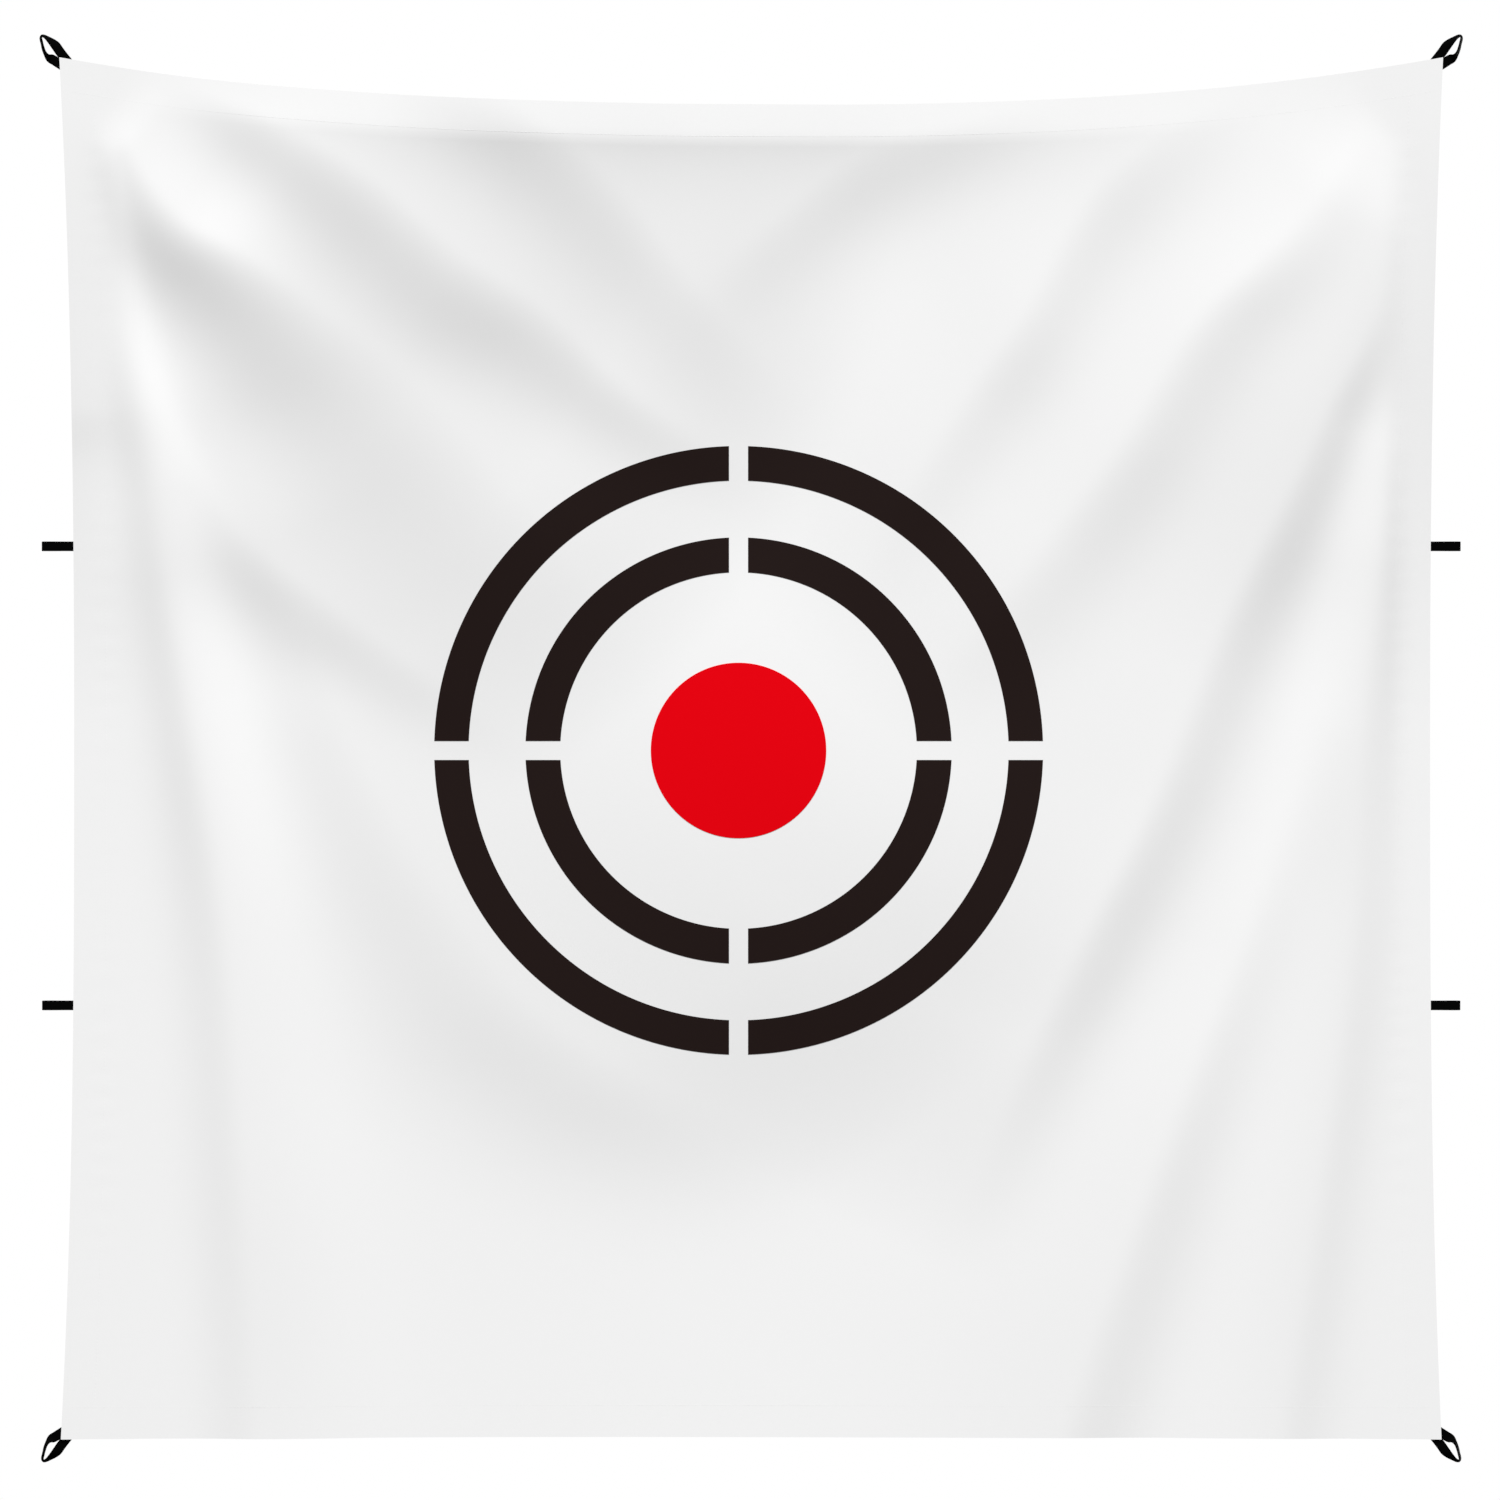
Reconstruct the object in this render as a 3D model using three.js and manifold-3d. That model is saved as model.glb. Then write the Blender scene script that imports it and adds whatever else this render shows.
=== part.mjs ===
// A square golf target cloth that hangs by two webbing loops, with a printed bullseye, hemmed
// edges and eight sewn loops. Millimetres, +Z up, and the printed front faces -Y. X = 0 and Z = 0
// are the middle of the cloth, and Y = 0 is the middle of the webbing at the two top corners.

import * as THREE from "three";
import { mergeVertices } from "three/addons/utils/BufferGeometryUtils.js";
import Module from "manifold-3d";

const wasm = await Module();
wasm.setup();

// ---------------------------------------------------------------- driving dimensions

// The cloth as it hangs, from corner to corner.
const CLOTH_WIDTH = 1495;
const CLOTH_HEIGHT = 1495;
const CLOTH_THICKNESS = 1;
const TOP_SAG = 52;
const BOTTOM_LIFT = 3;
const LEFT_BOW = 14.5;
const RIGHT_BOW = 12.5;
const SAG_POWER = 2.6;
const BOW_POWER = 2.8;

// The air between pieces that touch on the real object.
const SEAT = 0.3;

// The hems are the cloth folded to the back, and each seam runs along a hem's inner edge.
const HEM_WIDTH = 38;
const HEM_THICKNESS = 0.8;
const SEAM_FROM_EDGE = 34;
const THREAD_WIDTH = 1.2;
const THREAD_THICKNESS = 0.5;

// The print. The bullseye sits a little off the middle of the cloth.
const TARGET_X = -13.7;
const TARGET_Z = -1.4;
const OUTER_RING_RADIUS = 329;
const OUTER_RING_BAND = 37.3;
const INNER_RING_RADIUS = 230.3;
const INNER_RING_BAND = 37.7;
const DISC_RADIUS = 94.8;
const CROSS_GAP = 20.6;
const INK_THICKNESS = 0.3;

// The webbing strip, and the loops made of it.
const STRIP_WIDTH = 10.4;
const STRIP_THICKNESS = 1.2;
const LEG_GAP = 0.3;
const SEWN_LENGTH = 27;
const CORNER_LOOP_ANGLE = 52.3; // from the horizontal, outwards
const SIDE_LOOP_UPPER_Z = 219.6;
const SIDE_LOOP_LOWER_Z = -277.5;
const SIDE_LOOP_REACH = 20.4; // past the line through the corners
const SIDE_EYE_HALF_WIDTH = 3.2;
const STITCH_LENGTH = 17;
const STITCH_WIDTH = 7;

// At a corner the strip's two legs leave side by side. These are distances across the loop.
const FIRST_LEG_ACROSS = 4.2;
const SECOND_LEG_ACROSS = -8.7;
const SECOND_LEG_SLANT = 0.364; // per millimetre outwards
const LEGS_PART_AT = -5; // further in, both legs are pressed into one patch
const LEGS_REACH = 12;
const CORNER_STITCH_OUTWARDS = -16.5;
const CORNER_STITCH_ACROSS = 1.5;

// Where the webbing flexes. The second leg stands twisted there, so it is cleared to a larger radius.
const SWING_AXIS_ABOVE_CORNER = 2;
const CORNER_FLEX_REACH = 2.4;
const TOP_TWIST_RADIUS = 5;
const BOTTOM_TWIST_RADIUS = 4;
const FLEX_CLEARANCE = 0.25; // past SEAT, so that a leg laid over at 90 degrees stays clear

// The cloth lies flat where webbing stiffens its corners, and takes its folds further in.
const FLAT_RADIUS = 56;
const FOLDING_RADIUS = 125;
// Between its top corners and the rest of it the cloth settles back over this distance.
const SETTLING_RADIUS = 720;

// ---------------------------------------------------------------- the layers, front to back

const stackDepth = STRIP_THICKNESS + SEAT + HEM_THICKNESS + SEAT + CLOTH_THICKNESS / 2;
const cornerDepth = -stackDepth;
const hemFront = CLOTH_THICKNESS / 2 + SEAT;
const hemBack = hemFront + HEM_THICKNESS;
const webbingFront = hemBack + SEAT;
const webbingBack = webbingFront + 2 * STRIP_THICKNESS;
const legOffset = (STRIP_THICKNESS + LEG_GAP) / 2;
const knuckleRadius = STRIP_THICKNESS + LEG_GAP / 2;

// ---------------------------------------------------------------- materials

const white = () => new THREE.MeshStandardMaterial({ color: 0xf1f1f1, roughness: 0.85, metalness: 0 });
const blackInk = () => new THREE.MeshStandardMaterial({ color: 0x231917, roughness: 0.45, metalness: 0 });
const redInk = () => new THREE.MeshStandardMaterial({ color: 0xe40011, roughness: 0.5, metalness: 0 });
const webbing = () => new THREE.MeshStandardMaterial({ color: 0x0c0c0c, roughness: 0.8, metalness: 0 });
const whiteThread = () => new THREE.MeshStandardMaterial({ color: 0xe8e8e6, roughness: 0.7, metalness: 0 });
const blackThread = () => new THREE.MeshStandardMaterial({ color: 0x161616, roughness: 0.7, metalness: 0 });

// ---------------------------------------------------------------- the outline of the cloth

const clamp01 = (t) => Math.min(1, Math.max(0, t));
const smoothstep = (from, to, t) => {
  const s = clamp01((t - from) / (to - from));
  return s * s * (3 - 2 * s);
};
const arch = (t, power) => 1 - Math.pow(Math.min(1, Math.abs(t)), power);

const topEdge = (x) => CLOTH_HEIGHT / 2 - TOP_SAG * arch((2 * x) / CLOTH_WIDTH, SAG_POWER);
const bottomEdge = (x) => -CLOTH_HEIGHT / 2 + BOTTOM_LIFT * arch((2 * x) / CLOTH_WIDTH, SAG_POWER);
const leftEdge = (z) => -CLOTH_WIDTH / 2 + LEFT_BOW * arch((2 * z) / CLOTH_HEIGHT, BOW_POWER);
const rightEdge = (z) => CLOTH_WIDTH / 2 - RIGHT_BOW * arch((2 * z) / CLOTH_HEIGHT, BOW_POWER);

// ---------------------------------------------------------------- the folds

const LEFT = -1;
const RIGHT = 1;

// Each fold is a ridge that fans out of a top corner, with a steep flank towards the side edge and a
// long one towards the top edge. Its line runs down the middle of the steep flank. A station on it is
// [inwards, down, flank width, height], with the first two measured from the corner, and `spread` is
// how far the long flank fans out, in degrees. A fold of negative height is a valley, and its flanks
// lie the other way round.
const folds = [
  {
    side: LEFT,
    spread: 75,
    line: [
      [30, 48, 20, 0], [59, 109, 34, 4], [96, 184, 58, 13], [154, 248, 100, 25],
      [230, 341, 155, 30], [316, 434, 185, 28], [410, 542, 185, 17], [580, 740, 185, 0],
    ],
  },
  {
    side: LEFT,
    spread: 25,
    line: [
      [26, 60, 22, 0], [62, 160, 42, -5], [126, 250, 78, -7], [210, 340, 110, -5],
      [330, 470, 130, 0],
    ],
  },
  {
    side: LEFT,
    spread: 55,
    line: [
      [98, 41, 39, 0], [211, 105, 70, 12], [309, 181, 100, 19], [400, 262, 104, 18],
      [498, 316, 88, 13], [584, 381, 65, 8], [800, 511, 65, 0],
    ],
  },
  {
    side: LEFT,
    spread: 20,
    line: [
      [44, 219, 37, 0], [98, 413, 52, 7], [152, 521, 75, 9], [249, 608, 80, 8],
      [336, 667, 70, 5], [519, 792, 69, 0],
    ],
  },
  {
    side: LEFT,
    spread: 26,
    line: [
      [157, 413, 64, 0], [260, 748, 96, 10], [303, 846, 112, 11], [357, 943, 124, 11],
      [422, 1040, 134, 10], [519, 1121, 145, 8], [800, 1250, 160, 0],
    ],
  },
  {
    side: LEFT,
    spread: 3,
    line: [
      [11, 24, 22, 0], [44, 208, 32, 4], [82, 478, 40, 12], [114, 694, 48, 18],
      [146, 910, 56, 21], [168, 1181, 58, 21], [186, 1559, 58, 17],
    ],
  },
  {
    side: LEFT,
    spread: 30,
    line: [
      [330, 46, 65, 0], [490, 116, 100, 11], [580, 197, 110, 13], [660, 290, 100, 9],
      [800, 446, 104, 0],
    ],
  },
  {
    side: RIGHT,
    spread: 20,
    line: [
      [34, 80, 24, 0], [36, 197, 43, 7], [99, 403, 63, 15], [186, 586, 68, 17],
      [272, 802, 70, 17], [359, 975, 68, 15], [413, 1083, 64, 10], [512, 1321, 62, 0],
    ],
  },
  {
    side: RIGHT,
    spread: 15,
    line: [
      [20, 60, 16, 0], [38, 180, 36, -4], [82, 350, 48, -5], [150, 540, 55, 0],
    ],
  },
  {
    side: RIGHT,
    spread: 3,
    line: [
      [12, 197, 32, 0], [41, 457, 40, 12], [63, 694, 46, 17], [73, 910, 50, 15],
      [111, 1235, 50, 13], [160, 1559, 50, 10],
    ],
  },
  {
    side: RIGHT,
    spread: 45,
    line: [
      [45, 62, 30, 0], [111, 176, 61, 6], [219, 294, 76, 13], [306, 435, 82, 14],
      [392, 554, 86, 10], [565, 759, 86, 0],
    ],
  },
  {
    side: RIGHT,
    spread: 45,
    line: [
      [165, 57, 65, 0], [349, 176, 82, 9], [425, 305, 78, 11], [489, 392, 71, 8],
      [641, 651, 65, 0],
    ],
  },
  {
    side: RIGHT,
    spread: 25,
    line: [
      [371, 73, 54, 0], [533, 116, 71, 5], [619, 149, 78, 7], [706, 213, 78, 5],
      [824, 316, 65, 0],
    ],
  },
  {
    side: RIGHT,
    spread: 9,
    line: [
      [79, 586, 43, 0], [187, 965, 58, 9], [252, 1148, 67, 13], [317, 1332, 73, 14],
      [392, 1559, 73, 13],
    ],
  },
];
const STEEP_FLANK_SHARE = 0.6; // of the flank's width, from the crest to its steepest line
// The double cloth of a side hem stays out of the folds. These are measured in from the side.
const SIDE_STIFF_FROM = 13;
const SIDE_STIFF_TO = 68;

// The cloth falls back from the inner edge of the stiffer top hem.
const HEM_FALL = 11;
const HEM_FALL_REACH = 72;
const HEM_FALL_FADE = 600;
const HEM_FALL_MIDDLE = -70;
const HEM_FALL_HALF_WIDTH = 620;
// Under the top hem's sag the cloth swells forward a little.
const BELLY_HEIGHT = 10;
const BELLY_X = -70;
const BELLY_Z = 170;
const BELLY_HALF_WIDTH = 520;
const BELLY_HALF_HEIGHT = 640;
const BELLY_FROM = 0.1; // shares of the half sizes
const BELLY_TO = 1.15;

// A smooth curve through values at rising stops, level past both ends. `settled` also levels it there.
function curveThrough(stops, values, settled) {
  const last = stops.length - 1;
  const gap = (i) => stops[i + 1] - stops[i];
  const climb = (i) => (values[i + 1] - values[i]) / gap(i);
  const slopes = stops.map((_, i) => {
    if (i === 0) {
      return settled ? 0 : climb(0);
    }
    if (i === last) {
      return settled ? 0 : climb(last - 1);
    }
    return (gap(i) * climb(i - 1) + gap(i - 1) * climb(i)) / (gap(i - 1) + gap(i));
  });
  return (at) => {
    const x = Math.min(stops[last], Math.max(stops[0], at));
    const next = stops.findIndex((stop, i) => i > 0 && stop >= x);
    const i = next - 1;
    const t = (x - stops[i]) / gap(i);
    const fromLeft = (1 + 2 * t) * (1 - t) ** 2 * values[i] + t * (1 - t) ** 2 * gap(i) * slopes[i];
    const fromRight = t * t * (3 - 2 * t) * values[next] - t * t * (1 - t) * gap(i) * slopes[next];
    return fromLeft + fromRight;
  };
}

const ridges = folds.map(({ side, spread, line }) => {
  const reaches = line.map(([inwards, down]) => Math.hypot(inwards, down));
  return {
    side,
    spread: THREE.MathUtils.degToRad(spread),
    angle: curveThrough(reaches, line.map(([inwards, down]) => Math.atan2(down, inwards)), false),
    width: curveThrough(reaches, line.map(([, , width]) => width), false),
    height: curveThrough(reaches, line.map(([, , , height]) => height), true),
  };
});

function foldHeight(x, z) {
  let total = 0;
  for (const { side, spread, angle, width, height } of ridges) {
    const inwards = CLOTH_WIDTH / 2 - side * x;
    const down = CLOTH_HEIGHT / 2 - z;
    const reach = Math.hypot(inwards, down);
    const crestToLine = STEEP_FLANK_SHARE * width(reach);
    const facing = Math.sign(height(reach));
    const pastCrest = facing * reach * (Math.atan2(down, inwards) - angle(reach)) + crestToLine;
    const flank = pastCrest > 0 ? crestToLine : spread * reach;
    total += height(reach) * Math.exp(-0.5 * (pastCrest / flank) ** 2);
  }
  return total * smoothstep(SIDE_STIFF_FROM, SIDE_STIFF_TO, CLOTH_WIDTH / 2 - Math.abs(x));
}

function bellyHeight(x, z) {
  const r = Math.hypot((x - BELLY_X) / BELLY_HALF_WIDTH, (z - BELLY_Z) / BELLY_HALF_HEIGHT);
  return BELLY_HEIGHT * (1 - smoothstep(BELLY_FROM, BELLY_TO, r));
}

function hemFall(x, z) {
  const below = Math.max(0, topEdge(x) - HEM_WIDTH - z);
  const across = Math.min(1, Math.abs(x - HEM_FALL_MIDDLE) / HEM_FALL_HALF_WIDTH);
  const depth = 1 - Math.exp(-below / HEM_FALL_REACH);
  return HEM_FALL * depth * Math.cos((Math.PI / 2) * across) * Math.exp(-below / HEM_FALL_FADE);
}

function looseness(x, z) {
  const fromNearestCorner = Math.hypot(CLOTH_WIDTH / 2 - Math.abs(x), CLOTH_HEIGHT / 2 - Math.abs(z));
  return smoothstep(FLAT_RADIUS, FOLDING_RADIUS, fromNearestCorner);
}

function settling(x, z) {
  const fromTopCorner = Math.hypot(CLOTH_WIDTH / 2 - Math.abs(x), CLOTH_HEIGHT / 2 - z);
  return smoothstep(FLAT_RADIUS, SETTLING_RADIUS, fromTopCorner);
}

// ---------------------------------------------------------------- the cloth's grid

const CELLS = 24;

// Grid lines across a side, with one on each hem's inner edge and the rest drawn towards `finer`.
function gridLines(side, finer) {
  const hem = HEM_WIDTH / side;
  const lines = [0];
  for (let i = 0; i <= CELLS - 2; i += 1) {
    lines.push(hem + (1 - 2 * hem) * finer(i / (CELLS - 2)));
  }
  lines.push(1);
  return lines;
}

const towardsBothEnds = (t) => t - 0.05 * Math.sin(2 * Math.PI * t);
const towardsTheTop = (t) => 1 - Math.pow(1 - t, 1.2);
const columns = gridLines(CLOTH_WIDTH, towardsBothEnds);
const rows = gridLines(CLOTH_HEIGHT, towardsTheTop);

const lerp = (a, b, t) => a + (b - a) * t;
const gridPoint = (u, v) => {
  const z = CLOTH_HEIGHT * (v - 0.5);
  const x = CLOTH_WIDTH * (u - 0.5);
  return [lerp(leftEdge(z), rightEdge(z), u), lerp(bottomEdge(x), topEdge(x), v)];
};
const grid = rows.map((v) => columns.map((u) => gridPoint(u, v)));
const heights = grid.map((row) => row.map(([x, z]) => {
  return looseness(x, z) * (foldHeight(x, z) + bellyHeight(x, z) - hemFall(x, z));
}));

// The cloth hangs with its weight straight under the line through its top loops.
function balance() {
  let moment = 0;
  let settled = 0;
  for (let j = 0; j < CELLS; j += 1) {
    for (let i = 0; i < CELLS; i += 1) {
      const cell = (columns[i + 1] - columns[i]) * (rows[j + 1] - rows[j]);
      const corners = [[j, i], [j, i + 1], [j + 1, i], [j + 1, i + 1]];
      for (const [row, column] of corners) {
        moment += (cell / 4) * (cornerDepth - heights[row][column]);
        settled += (cell / 4) * settling(...grid[row][column]);
      }
    }
  }
  return -moment / settled;
}
const setBack = balance();
const depths = heights.map((row, j) => row.map((height, i) => {
  return cornerDepth - height + setBack * settling(...grid[j][i]);
}));

// Where a side edge of the cloth's grid is at a height: [x, depth of its middle].
function sideEdgeAt(column, z) {
  const above = grid.findIndex((row) => row[column][1] > z);
  const t = (z - grid[above - 1][column][1]) / (grid[above][column][1] - grid[above - 1][column][1]);
  const x = lerp(grid[above - 1][column][0], grid[above][column][0], t);
  return [x, lerp(depths[above - 1][column], depths[above][column], t)];
}

// ---------------------------------------------------------------- solids

function geometryFrom(positions, triangles) {
  const geometry = new THREE.BufferGeometry();
  geometry.setAttribute("position", new THREE.Float32BufferAttribute(positions, 3));
  geometry.setIndex(triangles);
  return geometry;
}

function toSolid(geometry) {
  const bare = geometry.clone();
  bare.deleteAttribute("normal");
  bare.deleteAttribute("uv");
  const merged = mergeVertices(bare, 1e-4);
  return new wasm.Manifold(new wasm.Mesh({
    numProp: 3,
    vertProperties: Float32Array.from(merged.attributes.position.array),
    triVerts: Uint32Array.from(merged.index.array),
  }));
}

function toGeometry(solid) {
  const mesh = solid.getMesh();
  const geometry = geometryFrom(Array.from(mesh.vertProperties), Array.from(mesh.triVerts));
  geometry.computeVertexNormals();
  return geometry;
}

// The cloth's own surface as a closed layer, between two distances behind its middle.
function clothLayer(front, back) {
  const positions = [];
  for (const offset of [front, back]) {
    grid.forEach((row, j) => row.forEach(([x, z], i) => positions.push(x, depths[j][i] + offset, z)));
  }
  const side = CELLS + 1;
  const index = (layer, j, i) => layer * side * side + j * side + i;
  const triangles = [];
  for (let j = 0; j < CELLS; j += 1) {
    for (let i = 0; i < CELLS; i += 1) {
      const cell = (layer) => [
        index(layer, j, i), index(layer, j, i + 1), index(layer, j + 1, i + 1), index(layer, j + 1, i),
      ];
      const [a, b, c, d] = cell(0);
      const [e, f, g, h] = cell(1);
      // The cells are split along the folds, which run down and inwards from each top corner.
      if (i < CELLS / 2) {
        triangles.push(a, b, d, b, c, d, e, h, f, f, h, g);
      } else {
        triangles.push(a, b, c, a, c, d, e, g, f, e, h, g);
      }
    }
  }
  const wall = (a, b) => triangles.push(a[0], a[1], b[0], b[0], a[1], b[1]);
  const pair = (j, i) => [index(0, j, i), index(1, j, i)];
  for (let i = 0; i < CELLS; i += 1) {
    wall(pair(0, i), pair(0, i + 1));
    wall(pair(CELLS, i + 1), pair(CELLS, i));
    wall(pair(i + 1, 0), pair(i, 0));
    wall(pair(i, CELLS), pair(i + 1, CELLS));
  }
  return geometryFrom(positions, triangles);
}

// The outline in the turning order that a shape wants.
function ccw(outline) {
  return THREE.ShapeUtils.isClockWise(outline.map(([x, y]) => ({ x, y }))) ? [...outline].reverse() : outline;
}

// An outline in X and Z, pushed through from one depth to another.
function prism(outline, front, back, holes = []) {
  const shape = new THREE.Shape(outline.map(([x, z]) => new THREE.Vector2(x, z)));
  for (const hole of holes) {
    shape.holes.push(new THREE.Path(hole.map(([x, z]) => new THREE.Vector2(x, z))));
  }
  const geometry = new THREE.ExtrudeGeometry(shape, { depth: back - front, bevelEnabled: false });
  geometry.rotateX(Math.PI / 2);
  geometry.translate(0, back, 0);
  return toSolid(geometry);
}

const BEYOND = 200;

// A piece that lies on the cloth and follows its folds.
function conforming(outline, front, back, holes) {
  const layer = toSolid(clothLayer(front, back));
  return toGeometry(layer.intersect(prism(outline, -BEYOND, BEYOND, holes)));
}

const object = new THREE.Group();

function addPiece(name, geometry, material) {
  const mesh = new THREE.Mesh(geometry, material);
  mesh.name = name;
  object.add(mesh);
}

// ---------------------------------------------------------------- cloth, hems and seams

addPiece("cloth_panel", clothLayer(-CLOTH_THICKNESS / 2, CLOTH_THICKNESS / 2), white());

const halfWidth = CLOTH_WIDTH / 2;
const halfHeight = CLOTH_HEIGHT / 2;
const along = (shares, side) => shares.map((share) => side * (share - 0.5));
const edgeX = [-halfWidth - HEM_WIDTH, ...along(columns, CLOTH_WIDTH), halfWidth + HEM_WIDTH];
const edgeZ = [-halfHeight - HEM_WIDTH, ...along(rows, CLOTH_HEIGHT), halfHeight + HEM_WIDTH];

// A level edge as straight chords between the grid's columns.
function chord(edge, x) {
  const last = edgeX.findIndex((end) => end >= x);
  const [from, to] = [edgeX[last - 1], edgeX[last]];
  return lerp(edge(from), edge(to), (x - from) / (to - from));
}

// A band along an edge, from one distance inside it to another. Negative distances lie outside.
function levelBand(edge, inwards, near, far) {
  const line = (distance) => edgeX.map((x) => [x, edge(x) + inwards * distance]);
  return ccw([...line(near), ...line(far).reverse()]);
}
// A side band stops short of the top and bottom hems, and follows their inner edges there.
function sideBand(edge, inwards, near, far) {
  const inset = HEM_WIDTH + SEAT;
  const line = (distance) => {
    const endX = edge(halfHeight - HEM_WIDTH) + inwards * distance;
    const bottom = chord(bottomEdge, endX) + inset;
    const top = chord(topEdge, endX) - inset;
    const between = edgeZ.filter((z) => z > bottom + HEM_WIDTH / 2 && z < top - HEM_WIDTH / 2);
    return [[endX, bottom], ...between.map((z) => [edge(z) + inwards * distance, z]), [endX, top]];
  };
  return ccw([...line(near), ...line(far).reverse()]);
}

const PAST_EDGE = -5;
const seamFar = SEAM_FROM_EDGE + THREAD_WIDTH;
const seamFront = hemBack + SEAT;
const edges = {
  top: (near, far) => levelBand(topEdge, -1, near, far),
  bottom: (near, far) => levelBand(bottomEdge, 1, near, far),
  left: (near, far) => sideBand(leftEdge, 1, near, far),
  right: (near, far) => sideBand(rightEdge, -1, near, far),
};
for (const [name, band] of Object.entries(edges)) {
  addPiece(`hem_${name}`, conforming(band(PAST_EDGE, HEM_WIDTH), hemFront, hemBack), white());
  const seam = conforming(band(SEAM_FROM_EDGE, seamFar), seamFront, seamFront + THREAD_THICKNESS);
  addPiece(`seam_${name}`, seam, whiteThread());
}

// ---------------------------------------------------------------- the printed bullseye

const ARC_STEPS = 18;
const DISC_STEPS = 48;
const inkBack = -CLOTH_THICKNESS / 2 - SEAT;
const inkFront = inkBack - INK_THICKNESS;

// A quarter of a ring, cut back on its straight sides by half the cross gap.
function ringQuarter(radius, band, signX, signZ) {
  const arc = (r) => {
    const first = Math.asin(CROSS_GAP / 2 / r);
    const last = Math.PI / 2 - first;
    return Array.from({ length: ARC_STEPS + 1 }, (_, i) => {
      const angle = lerp(first, last, i / ARC_STEPS);
      return [TARGET_X + signX * r * Math.cos(angle), TARGET_Z + signZ * r * Math.sin(angle)];
    });
  };
  return [...arc(radius), ...arc(radius - band).reverse()];
}

const quarters = { upper_right: [1, 1], upper_left: [-1, 1], lower_left: [-1, -1], lower_right: [1, -1] };
for (const [quarter, [signX, signZ]] of Object.entries(quarters)) {
  const outer = ringQuarter(OUTER_RING_RADIUS, OUTER_RING_BAND, signX, signZ);
  const inner = ringQuarter(INNER_RING_RADIUS, INNER_RING_BAND, signX, signZ);
  addPiece(`print_outer_ring_${quarter}`, conforming(outer, inkFront, inkBack), blackInk());
  addPiece(`print_inner_ring_${quarter}`, conforming(inner, inkFront, inkBack), blackInk());
}
const disc = Array.from({ length: DISC_STEPS }, (_, i) => {
  const angle = (2 * Math.PI * i) / DISC_STEPS;
  return [TARGET_X + DISC_RADIUS * Math.cos(angle), TARGET_Z + DISC_RADIUS * Math.sin(angle)];
});
addPiece("print_centre_disc", conforming(disc, inkFront, inkBack), redInk());

// ---------------------------------------------------------------- webbing

// A flat strip along a curve of stations. Each station has its middle and the way its width points.
function strip(stations) {
  const positions = [];
  const triangles = [];
  stations.forEach(({ middle, width }, k) => {
    const before = stations[Math.max(0, k - 1)].middle;
    const after = stations[Math.min(stations.length - 1, k + 1)].middle;
    const along = after.clone().sub(before).normalize();
    const across = width.clone().addScaledVector(along, -width.dot(along)).normalize();
    const face = new THREE.Vector3().crossVectors(along, across);
    for (const [a, f] of [[1, 1], [-1, 1], [-1, -1], [1, -1]]) {
      const corner = middle.clone();
      corner.addScaledVector(across, (a * STRIP_WIDTH) / 2).addScaledVector(face, (f * STRIP_THICKNESS) / 2);
      positions.push(corner.x, corner.y, corner.z);
    }
  });
  for (let k = 0; k + 1 < stations.length; k += 1) {
    const side = (c) => [4 * k + c, 4 * k + ((c + 1) % 4)];
    // The two wide faces are split the same way, which keeps the strip's thickness where it twists.
    for (const [a, b] of [side(0), side(1)]) {
      triangles.push(a, b, a + 4, b, b + 4, a + 4);
    }
    for (const [a, b] of [side(2), side(3)]) {
      triangles.push(a, b, b + 4, a, b + 4, a + 4);
    }
  }
  const last = 4 * (stations.length - 1);
  triangles.push(0, 2, 1, 0, 3, 2, last, last + 1, last + 2, last, last + 2, last + 3);
  const solid = toSolid(geometryFrom(positions, triangles));
  return solid.volume() < 0 ? toSolid(geometryFrom(positions, triangles.reverse())) : solid;
}

// A round bar, used to cut the webbing clear of its flex line.
function bar(middle, direction, radius, length) {
  const geometry = new THREE.CylinderGeometry(radius, radius, length, 16);
  const turn = new THREE.Quaternion().setFromUnitVectors(new THREE.Vector3(0, 1, 0), direction);
  geometry.applyQuaternion(turn);
  geometry.translate(middle.x, middle.y, middle.z);
  return toSolid(geometry);
}

// A block with one face through `middle`, reaching away from it along `direction`.
function block(middle, direction, size) {
  const geometry = new THREE.BoxGeometry(size, size, size);
  geometry.translate(0, 0, size / 2);
  const turn = new THREE.Quaternion().setFromUnitVectors(new THREE.Vector3(0, 0, 1), direction);
  geometry.applyQuaternion(turn);
  geometry.translate(middle.x, middle.y, middle.z);
  return toSolid(geometry);
}

// ---- corner loops

// The strip leaves the corner as a flat leg, turns on edge round the tip and comes back as a second
// leg behind the first. A station is [outwards, across, depth, twist in degrees].
const secondLegAcross = (u) => SECOND_LEG_ACROSS - SECOND_LEG_SLANT * u;
const firstLeg = (u) => [u, FIRST_LEG_ACROSS, -legOffset, 0];
const secondLeg = (u) => [u, secondLegAcross(u), legOffset, 0];
const cornerRoute = [
  firstLeg(-16), firstLeg(-8), firstLeg(0), [6, 4.3, -legOffset, 0],
  [12, 4.3, -legOffset, 4], [17, 4.1, -0.5, 22], [22, 3.6, -0.2, 48], [26.4, 2.9, 0, 74],
  [29.6, 2.1, 0, 90], [31.4, 0.3, 0, 90], [31.4, -2.5, 0, 90], [29.6, -4.3, 0, 90], [26.6, -6.2, 0, 88],
  [22, -8.2, 0.3, 84], [17, -9.8, 0.5, 77], [12, -10.6, 0.7, 63], [8, -10.5, legOffset, 44],
  [4.6, -10, legOffset, 22], [1.6, -9.2, legOffset, 6],
  secondLeg(-2), secondLeg(-8), secondLeg(-16),
];
const tilt = THREE.MathUtils.degToRad(CORNER_LOOP_ANGLE);
const MOST_TWIST = 10;
const CUT = 60;
const LEG_OVERLAP = 1;
const LAYER_OVERLAP = 0.02;
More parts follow.
